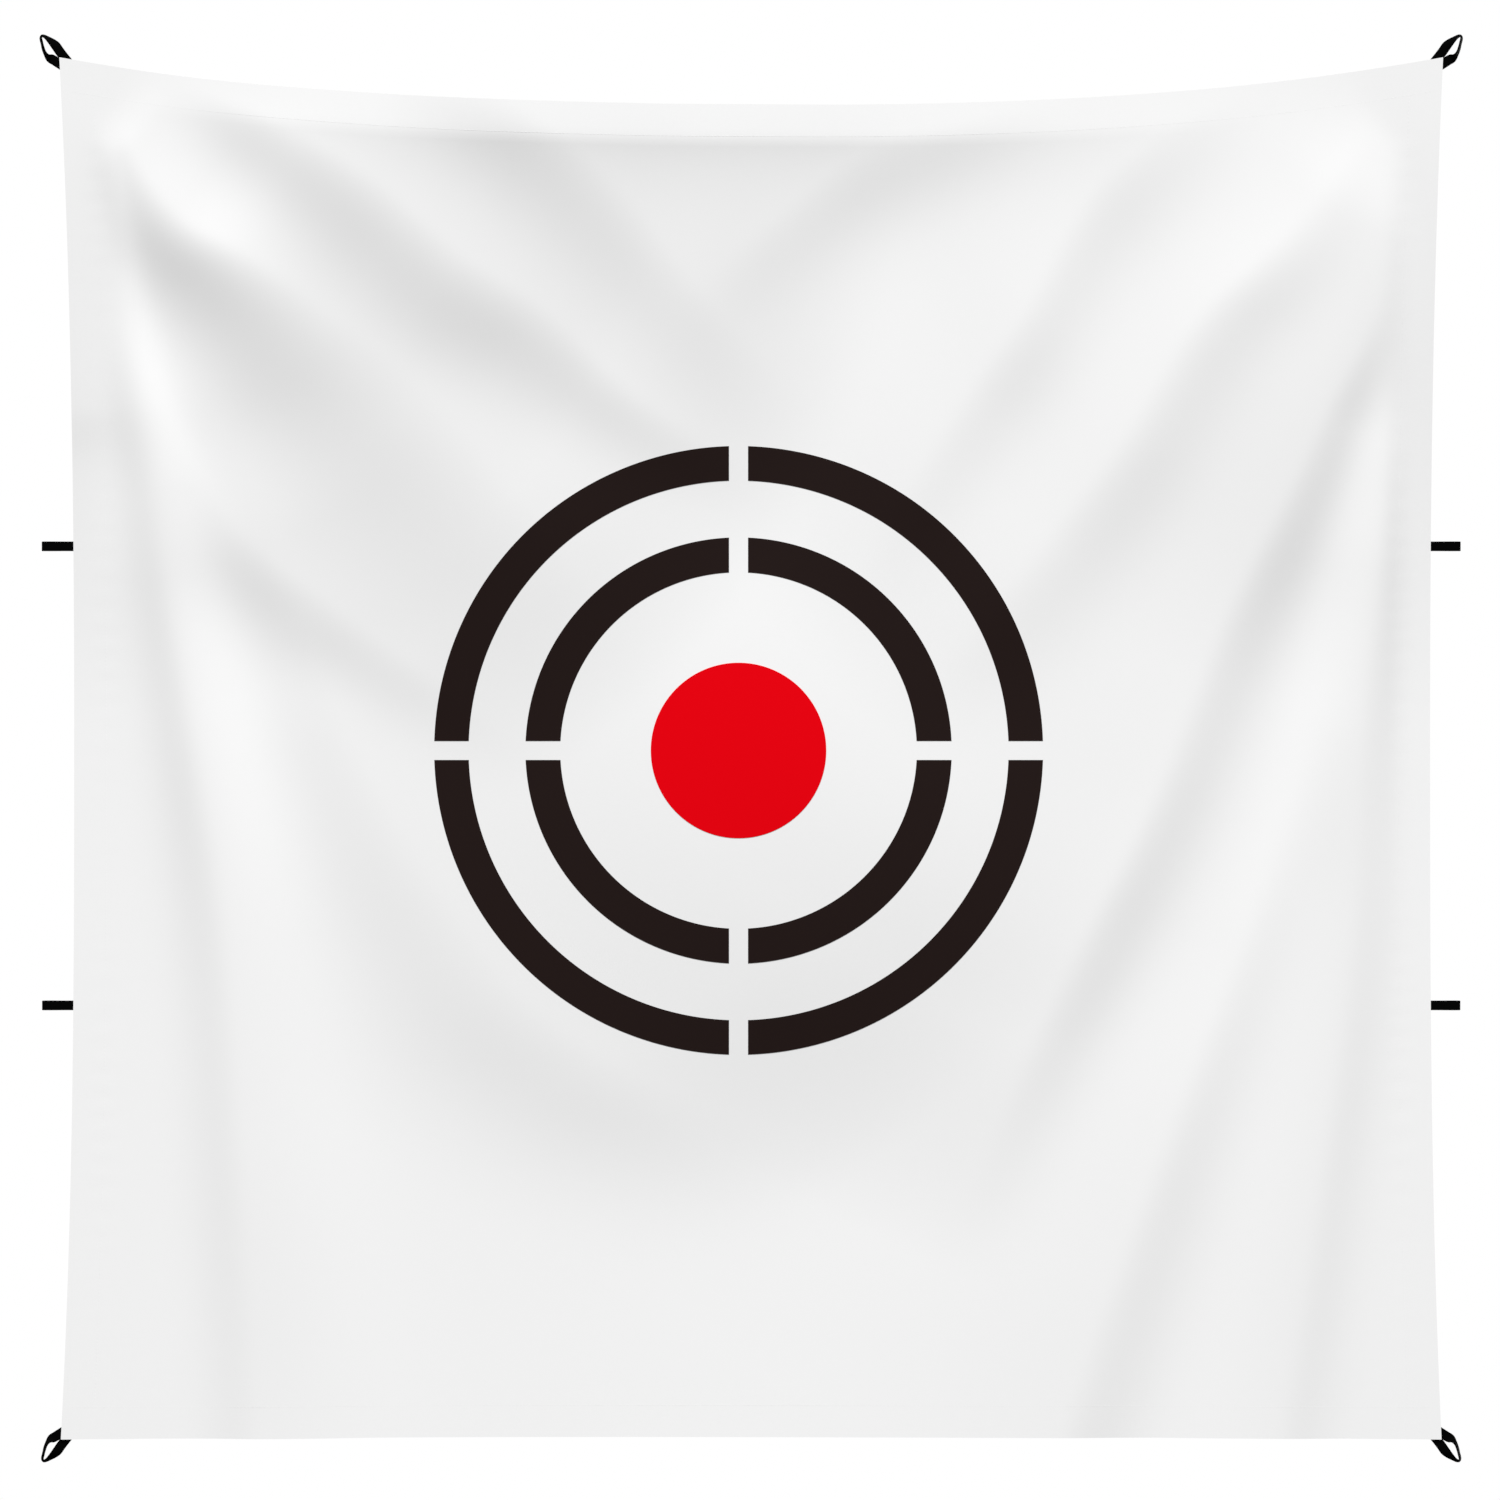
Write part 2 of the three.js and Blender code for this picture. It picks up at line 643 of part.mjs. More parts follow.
const BESIDE_CLOTH = 1;
const BESIDE_FIRST_LEG = 2.6;

// The directions at a corner: outwards along the loop, and across it towards the top or bottom edge.
function cornerFrame(signX, signZ) {
  const outwards = new THREE.Vector3(signX * Math.cos(tilt), 0, signZ * Math.sin(tilt));
  const across = new THREE.Vector3(-signX * Math.sin(tilt), 0, signZ * Math.cos(tilt));
  const corner = new THREE.Vector3(signX * halfWidth, signZ > 0 ? 0 : setBack, signZ * halfHeight);
  const place = (u, v, y = 0) => {
    const p = corner.clone().addScaledVector(outwards, u).addScaledVector(across, v);
    return p.setY(corner.y + y);
  };
  return { outwards, across, corner, place };
}

// The route with a station added in the middle of each stretch that twists much.
function refined(route) {
  const stops = route.map((_, k) => k);
  const curves = route[0].map((_, c) => curveThrough(stops, route.map((station) => station[c]), false));
  return route.flatMap((station, k) => {
    const twists = k + 1 < route.length && Math.abs(route[k + 1][3] - station[3]) > MOST_TWIST;
    return twists ? [station, curves.map((curve) => curve(k + 0.5))] : [station];
  });
}

function cornerStrip({ outwards, across, place }) {
  const route = refined(cornerRoute);
  const stations = route.map(([u, v, y, twist], k) => {
    const [u0, v0] = route[Math.max(0, k - 1)];
    const [u1, v1] = route[Math.min(route.length - 1, k + 1)];
    const sideways = new THREE.Vector3();
    sideways.addScaledVector(outwards, -(v1 - v0)).addScaledVector(across, u1 - u0).normalize();
    const angle = THREE.MathUtils.degToRad(twist);
    const width = sideways.multiplyScalar(Math.cos(angle)).add(new THREE.Vector3(0, Math.sin(angle), 0));
    return { middle: place(u, v, y), width };
  });
  return strip(stations);
}

// The two sewn legs: apart where they leave the corner, and pressed into one patch behind the hem.
function cornerEnd({ corner, place }) {
  const half = STRIP_WIDTH / 2;
  const outline = (points) => ccw(points.map(([u, v]) => {
    const p = place(u, v);
    return [p.x, p.z];
  }));
  const leg = (across) => {
    const [inner, outer] = [LEGS_PART_AT - LEG_OVERLAP, LEGS_REACH];
    return outline([
      [inner, across(inner) - half], [outer, across(outer) - half],
      [outer, across(outer) + half], [inner, across(inner) + half],
    ]);
  };
  const patch = outline([
    [-SEWN_LENGTH, secondLegAcross(-SEWN_LENGTH) - half],
    [LEGS_PART_AT, secondLegAcross(LEGS_PART_AT) - half],
    [LEGS_PART_AT, FIRST_LEG_ACROSS + half],
    [-SEWN_LENGTH, FIRST_LEG_ACROSS + half],
  ]);
  const middle = corner.y;
  const pressed = prism(patch, middle - STRIP_THICKNESS, middle + STRIP_THICKNESS);
  const front = prism(leg(() => FIRST_LEG_ACROSS), middle - STRIP_THICKNESS, middle + LAYER_OVERLAP);
  const back = prism(leg(secondLegAcross), middle - LAYER_OVERLAP, middle + STRIP_THICKNESS);
  return pressed.add(front).add(back);
}

// A box stitch: a rectangle of thread with a cross inside it.
function boxStitch(outlineOf) {
  const l = STITCH_LENGTH / 2;
  const w = STITCH_WIDTH / 2;
  const t = THREAD_WIDTH / 2;
  const diagonal = (t * Math.hypot(l, w)) / w;
  const outer = [[-l, -w], [l, -w], [l, w], [-l, w]];
  const a = l - 2 * t;
  const b = w - 2 * t;
  const endHole = [[a, -b + b * diagonal / a], [a, b - b * diagonal / a], [diagonal, 0]];
  const sideHole = [[-a + diagonal, b], [0, b * diagonal / a], [a - diagonal, b]];
  const flipX = ([x, z]) => [-x, z];
  const flipZ = ([x, z]) => [x, -z];
  const holes = [endHole, endHole.map(flipX), sideHole, sideHole.map(flipZ)];
  return { outer: ccw(outlineOf(outer)), holes: holes.map((hole) => ccw(outlineOf(hole)).reverse()) };
}

const UP = new THREE.Vector3(0, 0, 1);
const ACROSS_CLOTH = new THREE.Vector3(1, 0, 0);

function addCornerLoop(name, signX, signZ) {
  const frame = cornerFrame(signX, signZ);
  const whole = cornerStrip(frame);
  const atTop = signZ > 0;
  // A top loop is held while the cloth swings below it, about a line along the cloth's top. A
  // bottom loop is free, and flexes about a line square to itself.
  const away = atTop ? UP : frame.outwards;
  const axis = atTop ? ACROSS_CLOTH : frame.across.clone().normalize();
  const pivot = atTop
    ? frame.corner.clone().addScaledVector(UP, SWING_AXIS_ABOVE_CORNER)
    : frame.place(CORNER_FLEX_REACH, 0);
  // The second leg is beside the cloth at the top, and beside the first leg at the bottom.
  const twistRadius = atTop ? TOP_TWIST_RADIUS : BOTTOM_TWIST_RADIUS;
  const beside = atTop
    ? pivot.clone().add(new THREE.Vector3(signX * (CUT / 2 + BESIDE_CLOTH), 0, 0))
    : frame.place(CORNER_FLEX_REACH, -CUT / 2 - BESIDE_FIRST_LEG);
  const knuckle = bar(pivot, axis, knuckleRadius, CUT).add(bar(beside, axis, twistRadius, CUT));
  const cleared = bar(pivot, axis, knuckleRadius + SEAT + FLEX_CLEARANCE, CUT)
    .add(bar(beside, axis, twistRadius + SEAT, CUT + 2 * SEAT));
  const free = block(pivot, away, CUT).add(knuckle);
  const kept = block(pivot, away.clone().negate(), CUT).subtract(cleared);
  addPiece(`loop_${name}`, toGeometry(whole.intersect(free)), webbing());
  addPiece(`webbing_end_${name}`, toGeometry(cornerEnd(frame).intersect(kept)), webbing());
  const stitchAt = frame.place(CORNER_STITCH_OUTWARDS, CORNER_STITCH_ACROSS);
  const stitch = boxStitch((points) => points.map(([l, w]) => {
    const p = stitchAt.clone().addScaledVector(frame.outwards, l).addScaledVector(frame.across, w);
    return [p.x, p.z];
  }));
  const front = frame.corner.y + STRIP_THICKNESS + SEAT;
  const thread = prism(stitch.outer, front, front + THREAD_THICKNESS, stitch.holes);
  addPiece(`stitch_${name}`, toGeometry(thread), blackThread());
}

addCornerLoop("top_left", -1, 1);
addCornerLoop("top_right", 1, 1);
addCornerLoop("bottom_left", -1, -1);
addCornerLoop("bottom_right", 1, -1);

// ---- side loops

// Seen from above: two legs leave the edge together, part round the eye and meet at the tip.
function sideLoop(signX, z, [edge, clothDepth]) {
  const depth = clothDepth + (webbingFront + webbingBack) / 2;
  const pivotX = edge + signX * (knuckleRadius + SEAT + FLEX_CLEARANCE);
  const tip = signX * (halfWidth + SIDE_LOOP_REACH);
  const length = Math.abs(tip - pivotX) - STRIP_THICKNESS / 2;
  const eye = SIDE_EYE_HALF_WIDTH + STRIP_THICKNESS / 2;
  const half = [
    [-4, legOffset], [3, legOffset], [6, legOffset + 0.1], [length - 20, legOffset + 0.9],
    [length - 15, eye * 0.75], [length - 10, eye], [length - 5, eye], [length - 1.6, eye * 0.72],
    [length, eye * 0.3],
  ];
  const route = [...half, ...[...half].reverse().map(([u, y]) => [u, -y])];
  const stations = route.map(([u, y]) => ({
    middle: new THREE.Vector3(pivotX + signX * u, depth - y, z),
    width: UP.clone(),
  }));
  const pivot = new THREE.Vector3(pivotX, depth, z);
  const outwards = new THREE.Vector3(signX, 0, 0);
  const free = block(pivot, outwards, CUT).add(bar(pivot, UP, knuckleRadius, CUT));
  return strip(stations).intersect(free);
}

function addSideLoop(name, signX, z) {
  const edgeThere = sideEdgeAt(signX < 0 ? 0 : CELLS, z);
  const [edge] = edgeThere;
  addPiece(`loop_${name}`, toGeometry(sideLoop(signX, z, edgeThere)), webbing());
  const half = STRIP_WIDTH / 2;
  const inner = edge - signX * SEWN_LENGTH;
  const outer = edge - signX * PAST_EDGE;
  const end = ccw([[inner, z - half], [outer, z - half], [outer, z + half], [inner, z + half]]);
  addPiece(`webbing_end_${name}`, conforming(end, webbingFront, webbingBack), webbing());
  const stitchX = edge - (signX * SEWN_LENGTH) / 2;
  const stitch = boxStitch((points) => points.map(([l, w]) => [stitchX + l, z + w]));
  const front = webbingBack + SEAT;
  const thread = conforming(stitch.outer, front, front + THREAD_THICKNESS, stitch.holes);
  addPiece(`stitch_${name}`, thread, blackThread());
}

addSideLoop("left_upper", -1, SIDE_LOOP_UPPER_Z);
addSideLoop("left_lower", -1, SIDE_LOOP_LOWER_Z);
addSideLoop("right_upper", 1, SIDE_LOOP_UPPER_Z);
addSideLoop("right_lower", 1, SIDE_LOOP_LOWER_Z);

export default object;
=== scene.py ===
# A square golf target cloth that hangs by two webbing loops, dressed on its CAD frame.
# Lengths are in millimetres until a mesh is made, and in metres for the floor and the camera.
# The printed front faces -Y, and +Z is up as the cloth hangs.

import math

import bpy
import numpy as np
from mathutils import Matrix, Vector


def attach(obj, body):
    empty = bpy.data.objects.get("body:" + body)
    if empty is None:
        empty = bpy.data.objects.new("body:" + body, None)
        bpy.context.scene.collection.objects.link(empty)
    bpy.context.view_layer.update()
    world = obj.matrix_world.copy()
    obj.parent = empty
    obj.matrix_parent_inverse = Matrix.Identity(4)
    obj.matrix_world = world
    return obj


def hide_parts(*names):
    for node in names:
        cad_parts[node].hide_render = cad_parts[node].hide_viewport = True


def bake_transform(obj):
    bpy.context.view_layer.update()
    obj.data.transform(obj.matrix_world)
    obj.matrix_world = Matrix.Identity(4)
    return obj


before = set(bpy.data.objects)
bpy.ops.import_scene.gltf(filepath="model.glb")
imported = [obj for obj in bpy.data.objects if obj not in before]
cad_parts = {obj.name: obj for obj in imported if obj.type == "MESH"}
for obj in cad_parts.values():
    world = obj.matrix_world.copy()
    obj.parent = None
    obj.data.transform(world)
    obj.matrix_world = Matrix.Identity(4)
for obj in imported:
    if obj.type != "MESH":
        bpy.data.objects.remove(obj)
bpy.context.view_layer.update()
MM = 0.001

# ---------------------------------------------------------------- dimensions, as in the part

CLOTH_WIDTH = 1495.0
CLOTH_HEIGHT = 1495.0
CLOTH_THICKNESS = 1.0
TOP_SAG = 52.0
BOTTOM_LIFT = 3.0
LEFT_BOW = 14.5
RIGHT_BOW = 12.5
SAG_POWER = 2.6
BOW_POWER = 2.8
SEAT = 0.3
HEM_WIDTH = 38.0
HEM_THICKNESS = 0.8
SEAM_FROM_EDGE = 34.0
THREAD_WIDTH = 1.2
TARGET_X = -13.7
TARGET_Z = -1.4
OUTER_RING = (329.0, 37.3)
INNER_RING = (230.3, 37.7)
DISC_RADIUS = 94.8
CROSS_GAP = 20.6
STRIP_WIDTH = 10.4
STRIP_THICKNESS = 1.2
LEG_GAP = 0.3
SEWN_LENGTH = 27.0
CORNER_LOOP_ANGLE = 52.3
SIDE_LOOPS = {"upper": 219.6, "lower": -277.5}
SIDE_LOOP_REACH = 20.4
SIDE_EYE_HALF_WIDTH = 3.2
STITCH_LENGTH = 17.0
STITCH_WIDTH = 7.0
FLAT_RADIUS = 56.0
FOLDING_RADIUS = 125.0
SETTLING_RADIUS = 720.0
CORNER_STITCH_OUTWARDS = -16.5
CORNER_STITCH_ACROSS = 1.5

half_width = CLOTH_WIDTH / 2
half_height = CLOTH_HEIGHT / 2
corner_depth = -(STRIP_THICKNESS + SEAT + HEM_THICKNESS + SEAT + CLOTH_THICKNESS / 2)
hem_front = CLOTH_THICKNESS / 2 + SEAT
hem_back = hem_front + HEM_THICKNESS
webbing_front = hem_back + SEAT
webbing_back = webbing_front + 2 * STRIP_THICKNESS
leg_offset = (STRIP_THICKNESS + LEG_GAP) / 2

# ---------------------------------------------------------------- the outline and the folds


def smoothstep(start, end, t):
    s = np.clip((t - start) / (end - start), 0, 1)
    return s * s * (3 - 2 * s)


def arch(t, power):
    """1 in the middle of an edge, 0 at its ends."""
    return 1 - np.minimum(1, np.abs(t)) ** power


def top_edge(x):
    return half_height - TOP_SAG * arch(2 * x / CLOTH_WIDTH, SAG_POWER)


def bottom_edge(x):
    return -half_height + BOTTOM_LIFT * arch(2 * x / CLOTH_WIDTH, SAG_POWER)


def left_edge(z):
    return -half_width + LEFT_BOW * arch(2 * z / CLOTH_HEIGHT, BOW_POWER)


def right_edge(z):
    return half_width - RIGHT_BOW * arch(2 * z / CLOTH_HEIGHT, BOW_POWER)


# Each fold fans out of a top corner: (side, spread of its long flank in degrees, stations of
# [inwards, down, width of the steep flank, height]). A negative height is a valley.
FOLDS = [
    (-1, 75, [(30, 48, 20, 0), (59, 109, 34, 4), (96, 184, 58, 13), (154, 248, 100, 25),
              (230, 341, 155, 30), (316, 434, 185, 28), (410, 542, 185, 17), (580, 740, 185, 0)]),
    (-1, 25, [(26, 60, 22, 0), (62, 160, 42, -5), (126, 250, 78, -7), (210, 340, 110, -5),
              (330, 470, 130, 0)]),
    (-1, 55, [(98, 41, 39, 0), (211, 105, 70, 12), (309, 181, 100, 19), (400, 262, 104, 18),
              (498, 316, 88, 13), (584, 381, 65, 8), (800, 511, 65, 0)]),
    (-1, 20, [(44, 219, 37, 0), (98, 413, 52, 7), (152, 521, 75, 9), (249, 608, 80, 8),
              (336, 667, 70, 5), (519, 792, 69, 0)]),
    (-1, 26, [(157, 413, 64, 0), (260, 748, 96, 10), (303, 846, 112, 11), (357, 943, 124, 11),
              (422, 1040, 134, 10), (519, 1121, 145, 8), (800, 1250, 160, 0)]),
    (-1, 3, [(11, 24, 22, 0), (44, 208, 32, 4), (82, 478, 40, 12), (114, 694, 48, 18),
             (146, 910, 56, 21), (168, 1181, 58, 21), (186, 1559, 58, 17)]),
    (-1, 30, [(330, 46, 65, 0), (490, 116, 100, 11), (580, 197, 110, 13), (660, 290, 100, 9),
              (800, 446, 104, 0)]),
    (1, 20, [(34, 80, 24, 0), (36, 197, 43, 7), (99, 403, 63, 15), (186, 586, 68, 17),
             (272, 802, 70, 17), (359, 975, 68, 15), (413, 1083, 64, 10), (512, 1321, 62, 0)]),
    (1, 15, [(20, 60, 16, 0), (38, 180, 36, -4), (82, 350, 48, -5), (150, 540, 55, 0)]),
    (1, 3, [(12, 197, 32, 0), (41, 457, 40, 12), (63, 694, 46, 17), (73, 910, 50, 15),
            (111, 1235, 50, 13), (160, 1559, 50, 10)]),
    (1, 45, [(45, 62, 30, 0), (111, 176, 61, 6), (219, 294, 76, 13), (306, 435, 82, 14),
             (392, 554, 86, 10), (565, 759, 86, 0)]),
    (1, 45, [(165, 57, 65, 0), (349, 176, 82, 9), (425, 305, 78, 11), (489, 392, 71, 8),
             (641, 651, 65, 0)]),
    (1, 25, [(371, 73, 54, 0), (533, 116, 71, 5), (619, 149, 78, 7), (706, 213, 78, 5),
             (824, 316, 65, 0)]),
    (1, 9, [(79, 586, 43, 0), (187, 965, 58, 9), (252, 1148, 67, 13), (317, 1332, 73, 14),
            (392, 1559, 73, 13)]),
]
STEEP_FLANK_SHARE = 0.6
# The double cloth of a side hem stays out of the folds.
SIDE_STIFF_FROM = 13.0
SIDE_STIFF_TO = 68.0
HEM_FALL = 11.0
HEM_FALL_REACH = 72.0
HEM_FALL_FADE = 600.0
HEM_FALL_MIDDLE = -70.0
HEM_FALL_HALF_WIDTH = 620.0
BELLY_HEIGHT = 10.0
BELLY_X = -70.0
BELLY_Z = 170.0
BELLY_HALF_WIDTH = 520.0
BELLY_HALF_HEIGHT = 640.0
BELLY_FROM = 0.1
BELLY_TO = 1.15
PUCKER_HEIGHT = 0.06
PUCKER_PITCH = 26.0
PUCKER_REACH = 9.0
# Slow waves keep the puckers uneven: (size, length) of two that shift them, and one that swells them.
PUCKER_SHIFTS = ((1.4, 61.0), (1.1, 37.0))
PUCKER_SWELL = (0.4, 83.0)
DIP_X = -722.0
DIP_Z = 372.0
DIP_HALF_WIDTH = 26.0
DIP_RISE = 90.0
DIP_DROP = 30.0
DIP_DEPTH = 2.0
BALANCE_CELLS = 200
LEAST_REACH = 1e-6


def curve_through(stops, values, settled=False):
    """A smooth curve through values at rising stops. settled also levels it at both ends."""
    x, y = np.array(stops, float), np.array(values, float)
    h, climb = np.diff(x), np.diff(y) / np.diff(x)
    slope = np.zeros(len(x))
    slope[1:-1] = (h[1:] * climb[:-1] + h[:-1] * climb[1:]) / (h[:-1] + h[1:])
    if not settled:
        slope[0], slope[-1] = climb[0], climb[-1]

    def at(points):
        p = np.clip(points, x[0], x[-1])
        i = np.clip(np.searchsorted(x, p, side="left") - 1, 0, len(h) - 1)
        t = (p - x[i]) / h[i]
        left = (1 + 2 * t) * (1 - t) ** 2 * y[i] + t * (1 - t) ** 2 * h[i] * slope[i]
        right = t * t * (3 - 2 * t) * y[i + 1] - t * t * (1 - t) * h[i] * slope[i + 1]
        return left + right

    return at


RIDGES = []
for side, spread, stations in FOLDS:
    reach = [math.hypot(inwards, down) for inwards, down, _, _ in stations]
    RIDGES.append((
        side,
        math.radians(spread),
        curve_through(reach, [math.atan2(down, inwards) for inwards, down, _, _ in stations]),
        curve_through(reach, [width for _, _, width, _ in stations]),
        curve_through(reach, [height for _, _, _, height in stations], settled=True),
    ))


def looseness(x, z):
    """0 in the flat corners, where the webbing is sewn on, and 1 where the cloth folds freely."""
    from_corner = np.hypot(half_width - np.abs(x), half_height - np.abs(z))
    return smoothstep(FLAT_RADIUS, FOLDING_RADIUS, from_corner)


def settling(x, z):
    """How much of the set back the cloth has reached, from 0 at the top corners to 1."""
    from_top_corner = np.hypot(half_width - np.abs(x), half_height - z)
    return smoothstep(FLAT_RADIUS, SETTLING_RADIUS, from_top_corner)


def main_height(x, z):
    """The folds, the belly and the fall behind the top hem."""
    total = np.zeros(np.broadcast(x, z).shape)
    for side, spread, angle, width, height in RIDGES:
        inwards, down = half_width - side * x, half_height - z
        reach = np.maximum(np.hypot(inwards, down), LEAST_REACH)
        steep = STEEP_FLANK_SHARE * width(reach)
        facing = np.sign(height(reach))
        past_crest = facing * reach * (np.arctan2(down, inwards) - angle(reach)) + steep
        flank = np.where(past_crest > 0, steep, spread * reach)
        total += height(reach) * np.exp(-0.5 * (past_crest / flank) ** 2)
    total *= smoothstep(SIDE_STIFF_FROM, SIDE_STIFF_TO, half_width - np.abs(x))
    r = np.hypot((x - BELLY_X) / BELLY_HALF_WIDTH, (z - BELLY_Z) / BELLY_HALF_HEIGHT)
    total += BELLY_HEIGHT * (1 - smoothstep(BELLY_FROM, BELLY_TO, r))
    below = np.maximum(0, top_edge(x) - HEM_WIDTH - z)
    across = np.minimum(1, np.abs(x - HEM_FALL_MIDDLE) / HEM_FALL_HALF_WIDTH)
    fall = (1 - np.exp(-below / HEM_FALL_REACH)) * np.cos(math.pi / 2 * across)
    return total - HEM_FALL * fall * np.exp(-below / HEM_FALL_FADE)


def balance():
    """How far back the loose cloth hangs, so that its weight is straight under its top loops."""
    s = (np.arange(BALANCE_CELLS) + 0.5) / BALANCE_CELLS - 0.5
    x, z = np.meshgrid(s * CLOTH_WIDTH, s * CLOTH_HEIGHT)
    return (looseness(x, z) * main_height(x, z) - corner_depth).sum() / settling(x, z).sum()


SET_BACK = balance()


def puckers(x, z):
    """The small waves that a seam draws up along its stitches."""
    total = np.zeros(np.broadcast(x, z).shape)
    swell_size, swell_length = PUCKER_SWELL
    for from_edge, along, phase in (
        (top_edge(x) - z, x, 0.0), (z - bottom_edge(x), x, 1.3),
        (x - left_edge(z), z, 2.1), (right_edge(z) - x, z, 4.0),
    ):
        beside = np.exp(-0.5 * ((from_edge - SEAM_FROM_EDGE) / PUCKER_REACH) ** 2)
        shift = sum(
            size * np.sin(along / length + turn * phase)
            for turn, (size, length) in enumerate(PUCKER_SHIFTS, start=1)
        )
        swell = 1 - swell_size + swell_size * np.sin(along / swell_length + 3 * phase)
        total += PUCKER_HEIGHT * swell * beside * np.sin(along * 2 * math.pi / PUCKER_PITCH + shift)
    return total


def edge_dip(x, z):
    """The short ledge where the left hem is drawn in."""
    above = z - DIP_Z
    across = np.exp(-0.5 * ((x - DIP_X) / DIP_HALF_WIDTH) ** 2)
    return DIP_DEPTH * across * np.exp(-0.5 * (above / np.where(above > 0, DIP_RISE, DIP_DROP)) ** 2)


def depth_at(x, z):
    """Depth of the middle of the cloth."""
    x, z = np.asarray(x, float), np.asarray(z, float)
    height = main_height(x, z) + puckers(x, z) + edge_dip(x, z)
    return corner_depth + settling(x, z) * SET_BACK - looseness(x, z) * height


def grid_point(u, v):
    """A place inside the outline, from its shares of the width and of the height."""
    x, z = CLOTH_WIDTH * (u - 0.5), CLOTH_HEIGHT * (v - 0.5)
    return (
        left_edge(z) + (right_edge(z) - left_edge(z)) * u,
        bottom_edge(x) + (top_edge(x) - bottom_edge(x)) * v,
    )


# ---------------------------------------------------------------- materials

# A weave lies over the piece's own X and Z, or along a strip's own length.
WEAVE_COORDINATES = {"object": ("Object", "X", "Z"), "uv": ("UV", "X", "Y")}
# A wave texture of scale 1 runs through this many radians in a metre.
WAVE_RADIANS = 20


def material(name, colour, roughness, weave, specular, where="object"):
    """A woven finish. weave is (pitches in mm both ways, bump in mm, strength of the bump)."""
    made = bpy.data.materials.new(name)
    made.use_nodes = True
    nodes, links = made.node_tree.nodes, made.node_tree.links
    shader = nodes["Principled BSDF"]
    shader.inputs["Base Color"].default_value = (*colour, 1)
    shader.inputs["Roughness"].default_value = roughness
    shader.inputs["Specular IOR Level"].default_value = specular
    pitches, bump_height, strength = weave
    output, *directions = WEAVE_COORDINATES[where]
    coordinates = nodes.new("ShaderNodeTexCoord")
    product = nodes.new("ShaderNodeMath")
    product.operation = "MULTIPLY"
    for k, (direction, pitch) in enumerate(zip(directions, pitches)):
        wave = nodes.new("ShaderNodeTexWave")
        wave.wave_type = "BANDS"
        wave.bands_direction = direction
        wave.inputs["Scale"].default_value = 2 * math.pi / (WAVE_RADIANS * pitch * MM)
        wave.inputs["Distortion"].default_value = 0.6
        wave.inputs["Detail"].default_value = 1.0
        links.new(coordinates.outputs[output], wave.inputs["Vector"])
        links.new(wave.outputs["Fac"], product.inputs[k])
    bump = nodes.new("ShaderNodeBump")
    bump.inputs["Strength"].default_value = strength
    bump.inputs["Distance"].default_value = bump_height * MM
    links.new(product.outputs[0], bump.inputs["Height"])
    links.new(bump.outputs["Normal"], shader.inputs["Normal"])
    return made


def linear(*srgb):
    """The linear colour of three sRGB levels out of 255."""
    return tuple(((c / 255 + 0.055) / 1.055) ** 2.4 if c > 10 else c / 255 / 12.92 for c in srgb)


WHITE = (0.876, 0.876, 0.876)
WEBBING_BLACK = (0.0012, 0.0012, 0.0012)
THREAD_BLACK = (0.006, 0.006, 0.006)
CLOTH_WEAVE = ((0.7, 0.7), 0.12, 0.25)
WEAVE_UNDER_INK = ((0.7, 0.7), 0.1, 0.2)
WEBBING_RIB = ((1.3, 0.8), 0.3, 0.8)
THREAD_TWIST = ((0.3, 0.3), 0.05, 0.3)

white_cloth = material("white_cloth", WHITE, 0.9, CLOTH_WEAVE, specular=0.1)
black_ink = material("black_ink", linear(32, 21, 19), 0.42, WEAVE_UNDER_INK, specular=0.12)
red_ink = material("red_ink", linear(227, 0, 14), 0.45, WEAVE_UNDER_INK, specular=0.04)
black_webbing = material("black_webbing", WEBBING_BLACK, 0.8, WEBBING_RIB, specular=0.02, where="uv")
white_thread = material("white_thread", WHITE, 0.8, THREAD_TWIST, specular=0.1)
black_thread = material("black_thread", THREAD_BLACK, 0.6, THREAD_TWIST, specular=0.15)

# ---------------------------------------------------------------- meshes

SHARP_ANGLE = 50.0


def new_piece(name, points, faces, finish, slot, uv=None):
    """A piece from points in millimetres. uv gives each point its place on a strip."""
    mesh = bpy.data.meshes.new(name)
    mesh.from_pydata((np.asarray(points) * MM).tolist(), [], [tuple(f) for f in faces])
    mesh.update()
    if uv is not None:
        layer = mesh.uv_layers.new(name="UVMap")
        flat = np.asarray(uv)[[v for face in faces for v in face]] * MM
        layer.data.foreach_set("uv", flat.ravel())
    mesh.materials.append(finish)
    mesh.shade_smooth()
    mesh.set_sharp_from_angle(angle=math.radians(SHARP_ANGLE))
    piece = bpy.data.objects.new(name, mesh)
    bpy.context.scene.collection.objects.link(piece)
    return piece


def shell(front, back):
    """Points and faces of a closed layer between two grids of points."""
    rows, columns, _ = front.shape
    points = np.concatenate([front.reshape(-1, 3), back.reshape(-1, 3)])
    index = np.arange(rows * columns).reshape(rows, columns)
    a, b, c, d = index[:-1, :-1], index[:-1, 1:], index[1:, 1:], index[1:, :-1]
    n = rows * columns
    faces = np.stack([a, b, c, d], -1).reshape(-1, 4).tolist()
    faces += (np.stack([d, c, b, a], -1).reshape(-1, 4) + n).tolist()
    rim = list(index[0, :]) + list(index[1:, -1]) + list(index[-1, -2::-1]) + list(index[-2:0:-1, 0])
    for p, q in zip(rim, rim[1:] + rim[:1]):
        faces.append((q, p, p + n, q + n))
    return points, faces


